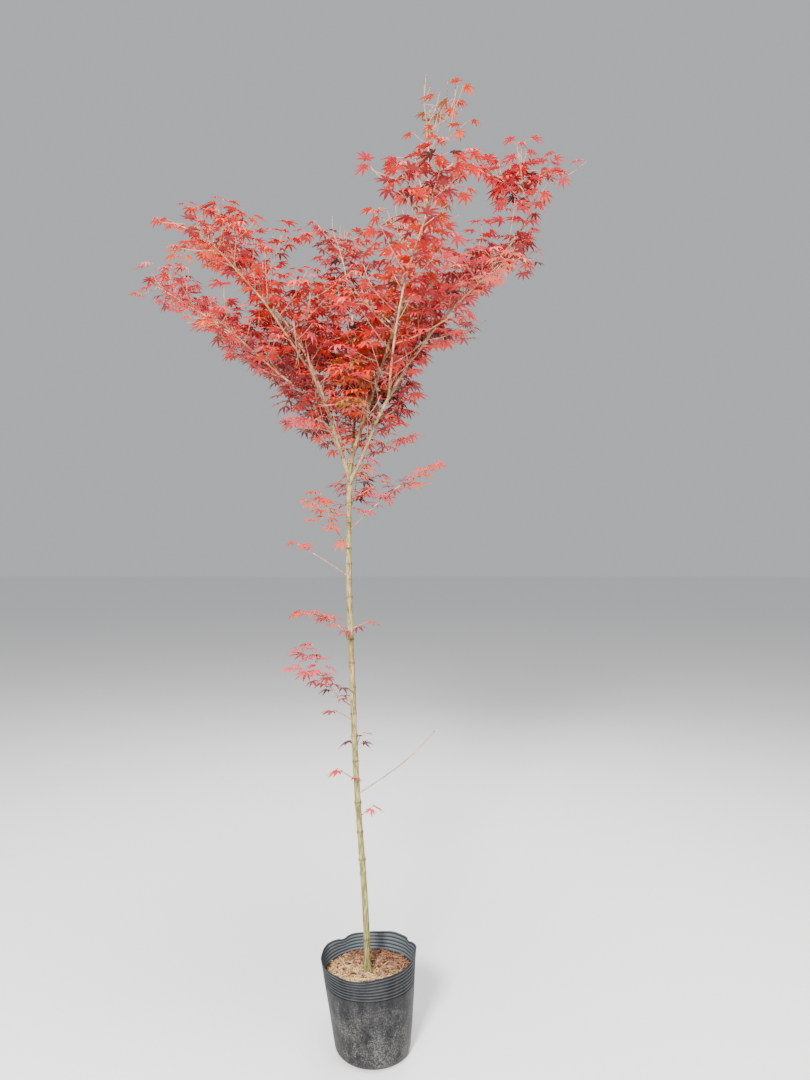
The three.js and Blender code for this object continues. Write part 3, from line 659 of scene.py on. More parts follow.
def make_piece(name, bag, material, nodes, smooth=True):
    """Turns a bag into a piece of the model that stands for the given nodes."""
    mesh = bpy.data.meshes.new(name)
    mesh.from_pydata((np.concatenate(bag.vertices) * MM).tolist(), [], bag.faces)
    if bag.corners:
        per_vertex = np.concatenate(bag.corners)
        loops = np.empty(len(mesh.loops), np.int32)
        mesh.loops.foreach_get("vertex_index", loops)
        layer = mesh.uv_layers.new(name="along")
        layer.data.foreach_set("uv", per_vertex[loops].astype(np.float32).ravel())
    mesh.polygons.foreach_set("use_smooth", np.full(len(mesh.polygons), smooth))
    mesh.update()
    piece = add_object(name, mesh)
    piece.data.materials.append(material)
    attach(piece, "root")
    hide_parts(*nodes)


def smooth_path(points, spacing):
    """A smooth curve through the points, at about the given spacing, with the share of each new point."""
    ends = np.vstack([2 * points[0] - points[1], points, 2 * points[-1] - points[-2]])
    step_length = np.linalg.norm(np.diff(points, axis=0), axis=1).mean()
    per_step = max(1, round(step_length / spacing))
    curve = []
    shares = []
    for i in range(len(points) - 1):
        before, start, end, after = ends[i:i + 4]
        for k in range(per_step):
            t = k / per_step
            curve.append(0.5 * (
                2 * start
                + (end - before) * t
                + (2 * before - 5 * start + 4 * end - after) * t * t
                + (3 * start - before - 3 * end + after) * t ** 3
            ))
            shares.append((i + t) / (len(points) - 1))
    curve.append(points[-1])
    shares.append(1.0)
    return np.array(curve), np.array(shares)


def ring_faces(rings, sides, first=0):
    """The faces between rings of vertices that follow each other."""
    return [
        (ring + k, ring + (k + 1) % sides, ring + (k + 1) % sides + sides, ring + k + sides)
        for ring in range(first, first + (rings - 1) * sides, sides) for k in range(sides)
    ]


def tube(points, radii, sides):
    """A closed tube round a path. radii holds one radius a ring, or one for every corner of every ring."""
    points = np.asarray(points, float)
    radii = np.asarray(radii, float)
    if radii.ndim == 1:
        radii = np.repeat(radii[:, None], sides, axis=1)
    ways = np.gradient(points, axis=0)
    ways /= np.linalg.norm(ways, axis=1)[:, None]
    upright = abs(ways[0][2]) >= NEARLY_UPRIGHT
    side = np.array([1.0, 0, 0]) if upright else np.array([0.0, 0, 1])
    turns = turns_of(sides)
    rings = []
    for point, way, reach in zip(points, ways, radii):
        side = unit(side - way * side.dot(way))
        ring = np.outer(np.cos(turns), side) + np.outer(np.sin(turns), np.cross(way, side))
        rings.append(point + ring * reach[:, None])
    top = tuple(range((len(points) - 1) * sides, len(points) * sides))
    foot = tuple(reversed(range(sides)))
    return np.concatenate(rings), ring_faces(len(points), sides) + [top, foot]


# Trunk and boughs
def rings_on(heights, node, strength):
    """How far a bud ring stands out: a soft swelling, a sharp ridge and a groove above it."""
    swelling = NODE_SWELL * bump(heights - node, RING_WIDTH)
    ridge = RIDGE_HEIGHT * bump(heights - node, RIDGE_WIDTH)
    groove = GROOVE_DEPTH * bump(heights - node - RING_LINE_RISE, GROOVE_WIDTH)
    return strength * (swelling + ridge - groove)


def ripple(seed, share, turns):
    """A slow random unevenness over a limb's skin, from -1 to 1."""
    draw = seeded(seed)
    total = np.zeros((len(share), len(turns)))
    for k in range(RIPPLE_WAVES):
        climb = 2 * np.pi * (1 + RIPPLE_GROWTH * k) * share[:, None]
        wave = climb * between(RIPPLE_VARIES, draw()) + RIPPLE_TURN * draw()
        around = (k % 3 + 1) * turns[None, :] + RIPPLE_TURN * draw()
        total += np.sin(wave + around * (1 if draw() > 0.5 else -1)) / RIPPLE_WAVES
    return total


def limb_radii(plain, heights, nodes, seed, sides, scale):
    """Radii of every corner of a limb: its taper, its bud rings with two scars each, its unevenness."""
    turns = turns_of(sides)
    ring_radii = plain.copy()
    scars = np.zeros((len(heights), sides))
    draw = seeded(seed)
    for i, node in enumerate(nodes):
        ring_radii += rings_on(heights, node, scale * between(RING_STRENGTH, draw()))
        facing = (i % 2) * np.pi / 2 + SCAR_TURN * draw()
        around = (np.cos(turns - facing) ** 2) ** SCAR_SHARPNESS
        tall = SCAR_HEIGHT * scale * bump(heights - node - SCAR_RISE, SCAR_WIDTH)
        scars += np.outer(tall, around)
    share = (heights - heights[0]) / (heights[-1] - heights[0])
    waves_along = share * heights[-1] / RIPPLE_LENGTH
    uneven = 1 + UNEVENNESS * ripple(seed + RIPPLE_SEED_STEP, waves_along, turns)
    return ring_radii[:, None] * uneven + scars


def limb_marks(heights, nodes, sides):
    """Face coordinates of a limb: how dark its ring lines are, and the share of its length."""
    lines = np.zeros(len(heights))
    for i, node in enumerate(nodes):
        strength = RING_LINE_SHARES[i % len(RING_LINE_SHARES)]
        lines += strength * bump(heights - node - RING_LINE_RISE, RING_LINE_WIDTH)
    share = (heights - heights[0]) / (heights[-1] - heights[0])
    return np.repeat(np.column_stack([np.minimum(lines, 1), share]), sides, axis=0)


trunk_bag = Bag()
path, shares = smooth_path(limbs["trunk"].points, TRUNK_RING_STEP)
heights = shares * TRUNK_LENGTH
nodes = sorted(NODE_HEIGHTS + LESSER_NODES)
flare = np.maximum(0, 1 - heights / FLARE_HEIGHT) ** 2
plain = np.array([along(TRUNK_RADII, share) for share in shares])
plain += (FLARE_RADIUS - TRUNK_RADII[0]) * flare
radii = limb_radii(plain, heights, nodes, TRUNK_SEED, TRUNK_SIDES, 1.0)
root_ridges = np.cos(ROOT_RIDGES * turns_of(TRUNK_SIDES) + ROOT_RIDGE_TURN)
radii += np.outer(flare * ROOT_RIDGE_HEIGHT, root_ridges)
trunk_bag.add(*tube(path, radii, TRUNK_SIDES), limb_marks(heights, nodes, TRUNK_SIDES))

# Each bough starts inside the limb that bears it, behind a swollen collar
bough_bag = Bag()
for index, bough in enumerate(BOUGHS):
    draw = seeded(BOUGH_NODE_SEED + index)
    path, shares = smooth_path(limbs[bough.name].points, BOUGH_RING_STEP)
    root, _, root_radius = place_on(bough.on, bough.at)
    path = np.vstack([root, path])
    heights = np.concatenate([[-root_radius], shares * bough.length])
    plain = np.array([along(bough.radii, share) for share in [0, *shares]])
    plain = plain * (1 + COLLAR_SWELL * np.exp(-np.maximum(heights, 0) / COLLAR_REACH))
    nodes = []
    reached = between(BOUGH_FIRST_NODE, draw())
    while reached < bough.length - BOUGH_LAST_NODE:
        nodes.append(reached)
        reached += between(BOUGH_NODE_SPACING, draw())
    scale = bough.radii[0] / TRUNK_RADII[0]
    radii = limb_radii(plain, heights, nodes, BOUGH_SEED + index, BOUGH_SIDES, scale)
    bough_bag.add(*tube(path, radii, BOUGH_SIDES), limb_marks(heights, nodes, BOUGH_SIDES))
knot_steps = len(KNOT_RADII) - 1
path = grow(place_on(*KNOT_ON)[0], KNOT_LENGTH, [KNOT_HEADING], [KNOT_RISE], knot_steps)
heights = np.linspace(0, KNOT_LENGTH, len(KNOT_RADII))
bough_bag.add(*tube(path, KNOT_RADII, BOUGH_SIDES), limb_marks(heights, [KNOT_LENGTH], BOUGH_SIDES))

# Foliage
foliage_names = [mass.name for mass in MASSES] + [shoot.name for shoot in SHOOTS]
leaf_bags = {tint: Bag() for tint in TINTS}
leaf_nodes = {tint: set() for tint in TINTS}
stems = Bag()
twigs = Bag()
stalks = Bag()
buds = Bag()
blade_middles = []


def leaf_template(seed):
    """A seven-lobed blade of size 1 that points along X, with folded lobes that droop at their tips."""
    draw = seeded(seed)
    droop = between(TEMPLATE_DROOP, draw())
    fold = between(LOBE_FOLD, draw())
    cup = between(TEMPLATE_CUP, draw())
    angles = [angle + between(LOBE_TURN, draw()) for angle in LOBE_ANGLES]
    lengths = [share * between(LOBE_VARIES, draw()) for share in LOBE_SHARES]
    lifts = [between(LOBE_LIFT, draw()) for _ in angles]
    curls = [between(LOBE_CURL, draw()) for _ in angles]
    points = []
    marks = []
    faces = []

    def put(angle, radius, height, mark):
        turn = math.radians(angle)
        points.append((math.cos(turn) * radius, math.sin(turn) * radius, height))
        marks.append(mark)
        return len(points) - 1

    put(0, 0, 0, (0, 0))
    # The notches on both sides of every lobe, first the one by the stalk
    notches = [put(angles[0] - BASE_NOTCH_TURN, BASE_NOTCH_SHARE, 0, (1, 0))]
    for i in range(len(angles) - 1):
        share = between(NOTCH_SHARES, min(lengths[i], lengths[i + 1]))
        notches.append(put((angles[i] + angles[i + 1]) / 2, NOTCH_SHARE * share, 0, (1, 0.2)))
    notches.append(put(angles[-1] + BASE_NOTCH_TURN, BASE_NOTCH_SHARE, 0, (1, 0)))

    for i, (angle, length) in enumerate(zip(angles, lengths)):
        right, left = notches[i], notches[i + 1]
        middle = put(angle, LOBE_ROOT_SHARE * length, LOBE_ROOT_DIP, (0, 0.2))
        faces += [(0, right, middle), (0, middle, left)]
        for share, width in zip(LOBE_STATIONS, LOBE_WIDTHS):
            bend = angle + curls[i] * share * share
            radius = share * length
            half = width * length ** 0.5
            aside = math.degrees(math.atan2(half, radius))
            reach = math.hypot(half, radius)
            rise = lifts[i] * share
            next_right = put(bend - aside, reach, rise + fold * half, (1, share))
            next_middle = put(bend, radius, rise, (0, share))
            next_left = put(bend + aside, reach, rise + fold * half, (1, share))
            faces += [(right, next_right, next_middle, middle), (middle, next_middle, next_left, left)]
            right, middle, left = next_right, next_middle, next_left
        tip = put(angle + curls[i], length, lifts[i], (0, 1))
        faces += [(right, tip, middle), (middle, tip, left)]
    blade = np.array(points)
    radius = np.hypot(blade[:, 0], blade[:, 1])
    blade[:, 2] = blade[:, 2] - droop * radius ** 2 + cup * blade[:, 1] ** 2
    return blade, faces, np.array(marks, float)


templates = [leaf_template(TEMPLATE_SEED + i) for i in range(TEMPLATE_COUNT)]


def leaf_frame(heading, droop, roll):
    """The directions out along a leaf, across it and up from it, as the rows of a matrix."""
    out = direction(heading, -droop)
    across = unit(np.cross([0, 0, 1], out))
    up = np.cross(out, across)
    turn = math.radians(roll)
    rolled = across * math.cos(turn) + up * math.sin(turn)
    return np.array([out, rolled, np.cross(out, rolled)])


class Growth:
    """One mass, shoot or leafy limb while its twigs and leaves are placed."""

    def __init__(self, name, box, seed, tints, index=None, bough=None):
        self.name = name
        self.index = index
        bough = bough or name
        self.leaf_scale = SMALL_LEAF_SCALE if bough in SMALL_LEAVED else 1.0
        self.open_heights = LEADER_OPEN_HEIGHTS if bough == "leader" else OPEN_HEIGHTS
        self.low = np.array(box[0]) / MM - LEAF_OVERHANG
        self.high = np.array(box[1]) / MM + [LEAF_OVERHANG, LEAF_OVERHANG, TOP_OVERHANG]
        self.draw = seeded(seed + FINE_SEED)
        self.tints = tints.split()

    def pick(self, ends):
        """A random value between two ends."""
        return between(ends, self.draw())

    def tint(self):
        """The tint of a twig: more often the first that is named."""
        return self.tints[0] if self.draw() < FIRST_TINT_SHARE else self.tints[-1]

    def fits(self, points):
        """True where every point is in reach of the solid, in its own space and off the limbs."""
        if np.any(points < self.low) or np.any(points > self.high):
            return False
        if self.index is not None and not has_room(self.index, points):
            return False
        return clear_of_limbs(self.name, points)

    def crowded(self, middle):
        """True where another blade is too near, which is farther off in the open top of the crown."""
        if not blade_middles:
            return False
        openness = np.interp(middle[2], self.open_heights, (0, 1))
        spacing = between(LEAF_SPACING, openness) * self.leaf_scale
        recent = np.array(blade_middles[-NEAR_BLADES:])
        return np.linalg.norm(recent - middle, axis=1).min() < spacing


sight_targets = np.array([
    place_on(name, share)[0]
    for name, last in IN_SIGHT for share in np.linspace(0, last, SIGHT_POINTS)
])
sight_lengths = np.linalg.norm(sight_targets - EYE, axis=1)
sight_ways = (sight_targets - EYE) / sight_lengths[:, None]


def hides_bough(middle):
    """True where a blade would hide one of the lower boughs from the front."""
    offset = middle - np.array(EYE)
    reached = sight_ways @ offset
    aside = np.linalg.norm(offset - reached[:, None] * sight_ways, axis=1)
    return bool(np.any((reached < sight_lengths) & (aside < SIGHT_WIDTH)))


def add_leaf(growth, root, heading, tint, scale):
    """Adds a leaf on its stalk where there is room for it, out of a few tries."""
    scale *= growth.leaf_scale
    for attempt in range(LEAF_TRIES):
        turned = heading + attempt * growth.pick(RETRY_TURN)
        stalk = growth.pick(STALK_LENGTH) * scale
        size = growth.pick(LEAF_SIZE) * scale
        base = root + direction(turned, growth.pick(STALK_RISE)) * stalk
        turned += growth.pick(BLADE_TURN)
        rows = leaf_frame(turned, growth.pick(LEAF_DROOP), growth.pick(LEAF_ROLL))
        middle = base + rows[0] * size * BLADE_MIDDLE
        points = np.vstack([base + (LOBE_TIPS * size) @ rows, middle])
        if growth.crowded(middle) or hides_bough(middle) or not growth.fits(points):
            continue
        blade_middles.append(middle)
        vertices, faces, marks = templates[int(growth.draw() * TEMPLATE_COUNT) % TEMPLATE_COUNT]
        leaf_bags[tint].add(base + (vertices * size) @ rows, faces, marks)
        if growth.name in foliage_names:
            leaf_nodes[tint].add(growth.name)
        arch = np.array([0, 0, STALK_ARCH * stalk])
        lower = root + (base - root) * STALK_BENDS[0] + arch * STALK_LOWER_ARCH
        upper = root + (base - root) * STALK_BENDS[1] + arch
        stalks.add(*tube([root, lower, upper, base], STALK_RADII, STALK_SIDES))
        return


def add_bud(root, heading, rise, length):
    """A pointed bud at the tip of a twig."""
    way = direction(heading, rise)
    path = [root + way * length * share for share in BUD_STATIONS]
    buds.add(*tube(path, BUD_RADII * length, TWIG_SIDES))


def in_shade(tint, steps):
    """The tint that many steps deeper, in painted shade."""
    for _ in range(steps):
        tint = SHADED_TINT[tint]
    return tint


def dress(growth, path, kind):
    """Opposite leaf pairs at the nodes of a twig, and two leaves and a bud at its tip."""
    tint = growth.tint()
    spacing = kind.spacing * growth.leaf_scale
    lengths = np.concatenate([[0], np.cumsum(np.linalg.norm(np.diff(path, axis=0), axis=1))])
    way = unit(path[-1] - path[0])
    heading = math.degrees(math.atan2(way[1], way[0]))
    turn_a_node = 90 if way[2] > STEEP else 0
    reached = kind.first
    count = 0
    while reached < lengths[-1] - BARE_TIP * spacing:
        point = np.array([np.interp(reached, lengths, path[:, axis]) for axis in range(3)])
        aside = growth.pick(PAIR_TURN)
        # Leaves nearer the foot of a twig take more steps of painted shade
        depth = between(SHADE_DEPTHS, reached / lengths[-1])
        shade = in_shade(tint, math.floor(growth.draw() * depth))
        for hand in (-1, 1):
            add_leaf(growth, point, heading + turn_a_node * count + hand * aside, shade, kind.scale)
        count += 1
        reached += spacing * growth.pick(NODE_VARIES)
    for hand in (-1, 1):
        add_leaf(growth, path[-1], heading + hand * TIP_TURN, tint, kind.scale * TIP_LEAF_SCALE)
    add_bud(path[-1], heading, math.degrees(math.asin(way[2])), BUD_LENGTH)


def add_twig(growth, start, heading, rise, length, kind):
    """Adds a leafy twig that turns upward, shortened until it fits, and gives its path or None."""
    for share in SHORTENED:
        headings = [heading, heading + TWIG_BEND]
        path = grow(start, length * share, headings, [rise, rise + kind.lift], TWIG_STEPS)
        if growth.fits(path[1:]):
            twigs.add(*tube(path, np.linspace(*kind.radii, len(path)), TWIG_SIDES))
            dress(growth, path, kind)
            return path
    return None


def add_finer(growth, start, heading, hand, rise, kind):
    """Adds a finer twig that turns off to one side."""
    turned = heading + hand * growth.pick(FINE_TURN)
    add_twig(growth, start, turned, rise, growth.pick(FINE_TWIG_LENGTH), kind)


def add_upright(growth, start, heading, turn=UPRIGHT_TURN):
    """Adds a leafy shoot that stands up from a twig or stem."""
    turned = heading + growth.pick(turn)
    rise = growth.pick(UPRIGHT_RISE)
    length = growth.pick(UPRIGHT_LENGTH)
    add_twig(growth, start, turned, rise, length, UPRIGHT_TWIG)


def add_stem(name, foot, ends, foot_swell):
    """Adds a stem that starts inside the limb that bears it, and gives its path."""
    path, shares = smooth_path(limbs[name].points, STEM_SPACING)
    radii = np.interp(shares, [0, 1], ends)
    radii = np.concatenate([[radii[0] * foot_swell], radii])
    stems.add(*tube(np.vstack([foot, path]), radii, STEM_SIDES))
    return path


for index, mass in enumerate(MASSES):
    random = seeded(mass.seed)
    growth = Growth(mass.name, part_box(mass.name), mass.seed, mass.tints, index, mass.on)
    path = add_stem(mass.name, place_on(mass.on, mass.at)[0], STEM_DRAWN_RADII, STEM_FOOT_SWELL)
    # The source's own twigs, with its draws in its order
    for i in range(mass.pairs):
        share = FIRST_PAIR + PAIRS_SPAN * i / max(mass.pairs - 1, 1)
        node = place_on(mass.name, share)[0]
        for hand in (-1, 1):
            aside = along(mass.headings, share) + hand * between(TWIG_TURN, random())
            rise = (hand * TWIG_TWIST if i % 2 else TWIG_RISE) + TWIG_RISE_RANGE * random()
            length = mass.reach * (TWIG_LENGTH - TWIG_TAPER * share) * between(TWIG_VARIES, random())
            twig = add_twig(growth, node, aside, rise, length * CARRIED_ON, SOURCE_TWIG)
            if twig is None:
                continue
            for step in UPRIGHTS_ON:
                if growth.draw() < UPRIGHT_SHARE:
                    add_upright(growth, twig[step], aside)
            add_finer(growth, twig[FINER_ON], aside, hand, rise, FINER_TWIG)
    for i in range(mass.pairs):
        share = STEM_UPRIGHTS_FROM + STEM_UPRIGHTS_SPAN * i / mass.pairs
        node = place_on(mass.name, share)[0]
        add_upright(growth, node, along(mass.headings, share), STEM_UPRIGHT_TURN)
    dress(growth, path, STEM)
    # The stem goes on in a finer twig, about as far as the solid's large leaves reach
    rise = growth.pick(ONWARD_RISE)
    length = growth.pick(ONWARD_LENGTH)
    add_twig(growth, path[-1], mass.headings[-1] + ONWARD_TURN, rise, length, ONWARD_TWIG)
    for _ in range(PRONGS.get(mass.name, 0)):
        heading = mass.headings[-1] + growth.pick(PRONG_TURN)
        length = growth.pick(PRONG_LENGTH)
        prong = grow(path[-1], length, [heading], [growth.pick(PRONG_RISE)], PRONG_STEPS)
        twigs.add(*tube(prong, np.linspace(*FINE_RADII, len(prong)), TWIG_SIDES))
        add_bud(prong[-1], heading, PRONG_BUD_RISE, LARGE_BUD_LENGTH)

for shoot in SHOOTS:
    growth = Growth(shoot.name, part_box(shoot.name), shoot.seed, shoot.tints)
    path = add_stem(shoot.name, place_on("trunk", shoot.at)[0], SHOOT_DRAWN_RADII, SHOOT_FOOT_SWELL)
    if shoot.pairs:
        leafy = min(NODE_SPACING * (shoot.pairs - 0.5), shoot.reach - SHOOT_FOOT_BARE)
        dress(growth, path, SHOOT._replace(first=shoot.reach - leafy))
    if shoot.pairs >= BRANCHED_PAIRS:
        for hand, share in BRANCHED_AT:
            node = place_on(shoot.name, share)[0]
            add_finer(growth, node, along(shoot.headings, share), hand, TWIG_RISE, SHOOT_TWIG)
    add_bud(path[-1], shoot.headings[-1], shoot.rises[-1], LARGE_BUD_LENGTH)


def clothe(growth, length, headings, first, last):
    """Adds leafy twigs on both sides of a stretch of a limb."""
    share = first
    hand = 1
    while share < last:
        turned = along(headings, share) + hand * growth.pick(BOUGH_TWIG_TURN)
        reach = growth.pick(BOUGH_TWIG_LENGTH) * between(BOUGH_TWIG_SHARES, share)
        rise = growth.pick(BOUGH_TWIG_RISE)
        start = place_on(growth.name, share)[0]
        twig = add_twig(growth, start, turned, rise, reach, INNER_TWIG)
        if twig is not None:
            if growth.draw() < UPRIGHT_SHARE and share < BOUGH_UPRIGHTS_TO:
                add_upright(growth, twig[UPRIGHTS_ON[0]], turned)
            if share < BOUGH_FINER_TO:
                add_finer(growth, twig[FINER_ON], turned, hand, TWIG_RISE, FINER_INNER_TWIG)
        hand = -hand
        share += growth.pick(BOUGH_TWIG_SPACING) / length


for index, bough in enumerate(BOUGHS):
    growth = Growth(bough.name, cad_box, BOUGH_LEAF_SEED + index, bough.tints)
    clothe(growth, bough.length, bough.headings, *BOUGH_LEAVES)
growth = Growth("trunk", cad_box, TRUNK_LEAF_SEED, TRUNK_LEAF_TINTS)
clothe(growth, TRUNK_LENGTH, TRUNK_LEAF_HEADINGS, *TRUNK_LEAVES)


# Pot
def wall_radius(height):
    return BASE_RADIUS + (RIM_RADIUS - BASE_RADIUS) * height / POT_HEIGHT


def slump(points):
    """The lean and wave that the solid pot has."""
    x, y, z = points.T
    angle = np.arctan2(y, x)
    high = np.maximum(0, (z - WAVE_STARTS) / (POT_HEIGHT - WAVE_STARTS))
    outward = (x * x + y * y) / RIM_RADIUS ** 2
    wave = RIM_TILT * np.cos(angle - math.radians(RIM_TILT_TOWARD)) + RIM_BEND * np.cos(2 * angle)
    return np.column_stack([x + RIM_SLUMP * z / POT_HEIGHT, y, z + wave * high * high * outward])


def waves(rows, angle, up=0):
    return sum(tall * np.sin(around * angle + climb * up + shift) for tall, around, climb, shift in rows)


def turned_off(angle, toward):
    """How far an angle in radians is turned from a heading, the short way round."""
    return np.angle(np.exp(1j * (angle - math.radians(toward))))


def dents(angle, height):
    """Shallow dents and slow waves of the soft wall, which fade out toward its foot."""
    up = height / POT_HEIGHT
    fine_wave = FINE_WAVE * np.sin(11 * angle + 7 * up) * np.sin(9 * up + 1.3 * np.sin(3 * angle))
    total = (waves(WALL_WAVES, angle, up) + fine_wave) * np.clip(up * 2, 0, 1)
    for toward, middle, depth, wide, tall in WALL_DENTS:
        total = total - depth * bump(turned_off(angle, toward), wide) * bump(up - middle, tall)
    return total


def ribs(height):
    """The moulded rings near the rim: round ridges with a sharp groove between each two."""
    top = POT_HEIGHT - RIM_BAND
    inside = (height < top) & (height > top - RIB_COUNT * RIB_PITCH)
    phase = (top - height) / RIB_PITCH
    return np.where(inside, RIB_DEPTH * (np.abs(np.sin(np.pi * phase)) - 1), 0)


def crease(angle, height):
    """How far the soft rim wanders in and out, and up and down, mostly at its creases."""
    high = np.clip((height - CREASE_STARTS) / (POT_HEIGHT - CREASE_STARTS), 0, 1) ** 2
    inward = waves(RIM_WAVES_INWARD, angle)
    upward = waves(RIM_WAVES_UPWARD, angle)
    for toward, wide, depth, drop in RIM_CREASES:
        off = turned_off(angle, toward)
        inward = inward - depth * bump(off, wide)
        upward = upward - drop * bump(off, wide * DROP_WIDTH)
    return inward * high, upward * high


def pot_profile():
    """Radius, height and side (0 outside, 1 inside) of the wall, from under the foot round to the mix."""
    foot_centre = wall_radius(FOOT_ROUND) - FOOT_ROUND
    profile = [(foot_centre / 2, 0.0, 0)]
    for i in range(FOOT_ARC_STEPS + 1):
        turn = math.pi / 2 * i / FOOT_ARC_STEPS
        profile.append((foot_centre + FOOT_ROUND * math.sin(turn), FOOT_ROUND * (1 - math.cos(turn)), 0))
    ribs_foot = POT_HEIGHT - RIM_BAND - RIB_COUNT * RIB_PITCH - RIB_MARGIN
    plain = np.arange(FOOT_ROUND + WALL_STEP, ribs_foot, WALL_STEP)
    ribbed = np.arange(ribs_foot, POT_HEIGHT - 1, RIBBED_STEP)
    wall = [(wall_radius(height) + ribs(height), height) for height in np.concatenate([plain, ribbed])]
    profile += [(radius, height, 0) for radius, height in wall]
    profile += [
        (RIM_RADIUS, POT_HEIGHT - RIM_EDGE, 0),
        (RIM_RADIUS - POT_WALL / 2, POT_HEIGHT, 0.5),
        (RIM_RADIUS - POT_WALL, POT_HEIGHT - RIM_EDGE, 1),
    ]
    profile += [(radius - POT_WALL, height, 1) for radius, height in reversed(wall) if height > INNER_ENDS]
    return profile


def ring_at(radius, turns, height):
    level = np.broadcast_to(height, turns.shape)
    return np.column_stack([radius * np.cos(turns), radius * np.sin(turns), level])


def pot_bag():
    """The pot's outer and inner wall as one skin, open inside below the mix."""
    turns = turns_of(POT_SIDES)
    profile = pot_profile()
    rings = []
    marks = []
    for radius, height, side in profile:
        inward, upward = crease(turns, height)
        shaped = radius + dents(turns, height) * min(height / FOOT_ROUND, 1) + inward
        rings.append(ring_at(shaped, turns, height + upward))
        marks.append(np.tile([side, height / POT_HEIGHT], (POT_SIDES, 1)))
    underside = tuple(reversed(range(POT_SIDES)))
    faces = ring_faces(len(profile), POT_SIDES) + [underside]
    return Bag().add(slump(np.concatenate(rings)), faces, np.concatenate(marks))


# Potting mix
def mix_surface(x, y):
    """Height of the potting mix, a low uneven mound that dips toward the wall."""
    edge = np.clip((np.hypot(x, y) - MIX_DIP_FROM) / MIX_DIP_OVER, 0, 1)
    lumps = sum(
        tall * np.sin(x / wide + shift_x) * np.sin(y / deep + shift_y)
        for tall, wide, shift_x, deep, shift_y in MIX_LUMPS
    )
    return MIX_TOP - MIX_DIP * edge ** MIX_DIP_POWER + lumps * LUMP_SCALE


def mix_bag():
    """The mound out to the wall, closed underneath."""
    turns = turns_of(MIX_SIDES)
    wall = wall_radius(MIX_EDGE_HEIGHT) + ribs(MIX_EDGE_HEIGHT) - POT_WALL
    edge = wall + dents(turns, MIX_EDGE_HEIGHT) - MIX_CLEARANCE
    rings = [np.array([[0.0, 0, mix_surface(0, 0)]])]
    for i in range(1, MIX_RINGS + 1):
        x = edge * np.cos(turns) * i / MIX_RINGS
        y = edge * np.sin(turns) * i / MIX_RINGS
        rings.append(np.column_stack([x, y, mix_surface(x, y)]))
    rings.append(ring_at(MIX_FOOT_SHARE * edge, turns, MIX_UNDERSIDE))
    faces = [(0, 1 + k, 1 + (k + 1) % MIX_SIDES) for k in range(MIX_SIDES)]
    faces += [(a, d, c, b) for a, b, c, d in ring_faces(MIX_RINGS + 1, MIX_SIDES, 1)]
    faces.append(tuple(1 + MIX_RINGS * MIX_SIDES + k for k in reversed(range(MIX_SIDES))))
    return Bag().add(slump(np.concatenate(rings)), faces)


def fibre(draw, foot):
    """One coir fibre: the points that must lie inside the wall, and its mesh."""
    heading = 360 * draw()
    headings = [heading, heading + between(FIBRE_BEND, draw())]
    rises = [between(ends, draw()) for ends in FIBRE_RISES]
    path = grow(foot + [0, 0, FIBRE_LIFT], between(FIBRE_LENGTH, draw()), headings, rises, TWIG_STEPS)
    radii = between(FIBRE_THICKNESS, draw()) * FIBRE_TAPER
    return path, tube(slump(path), radii, STALK_SIDES)


def chip(draw, foot):
    """One flat husk chip: the points that must lie inside the wall, and its mesh."""
    size = between(CHIP_LENGTH, draw())
    width = size * between(CHIP_WIDTH, draw())
    thick = between(CHIP_THICKNESS, draw())
    rows = leaf_frame(360 * draw(), between(CHIP_TILT, draw()), between(CHIP_ROLL, draw()))
    box = np.array([
        [sx * size * (1 - CHIP_BEVEL * sz), sy * width * (1 - CHIP_TAPER * sx), sz * thick]
        for sx in (-1, 1) for sy in (-1, 1) for sz in (-1, 1)
    ]) * 0.5
    shifts = np.array([[draw() - 0.5, draw() - 0.5] for _ in box])
    box[:, :2] += CHIP_ROUGHNESS * width * shifts
    points = foot + [0, 0, thick * 0.5 + CHIP_LIFT] + box @ rows
    faces = [(0, 1, 3, 2), (4, 6, 7, 5), (0, 4, 5, 1), (2, 3, 7, 6), (0, 2, 6, 4), (1, 5, 7, 3)]
    return points, (slump(points), faces)


def litter(shape, count, seed):
    """Scatters chips or fibres on the mix: a golden bag and a brown one, each mostly on its own side."""
    draw = seeded(seed)
    gold_bag, brown_bag = Bag(), Bag()
    for _ in range(count):
        radius = LITTER_RADIUS * math.sqrt(draw())
        angle = 2 * math.pi * draw()
        x, y = radius * math.cos(angle), radius * math.sin(angle)
        golden = (x * GOLD_TOWARD[0] + y * GOLD_TOWARD[1]) / LITTER_RADIUS + draw() - 0.5 > 0
        points, mesh = shape(draw, np.array([x, y, float(mix_surface(x, y))]))
        if np.hypot(points[:, 0], points[:, 1]).max() < LITTER_REACH:
            (gold_bag if golden else brown_bag).add(*mesh)
    return gold_bag, brown_bag


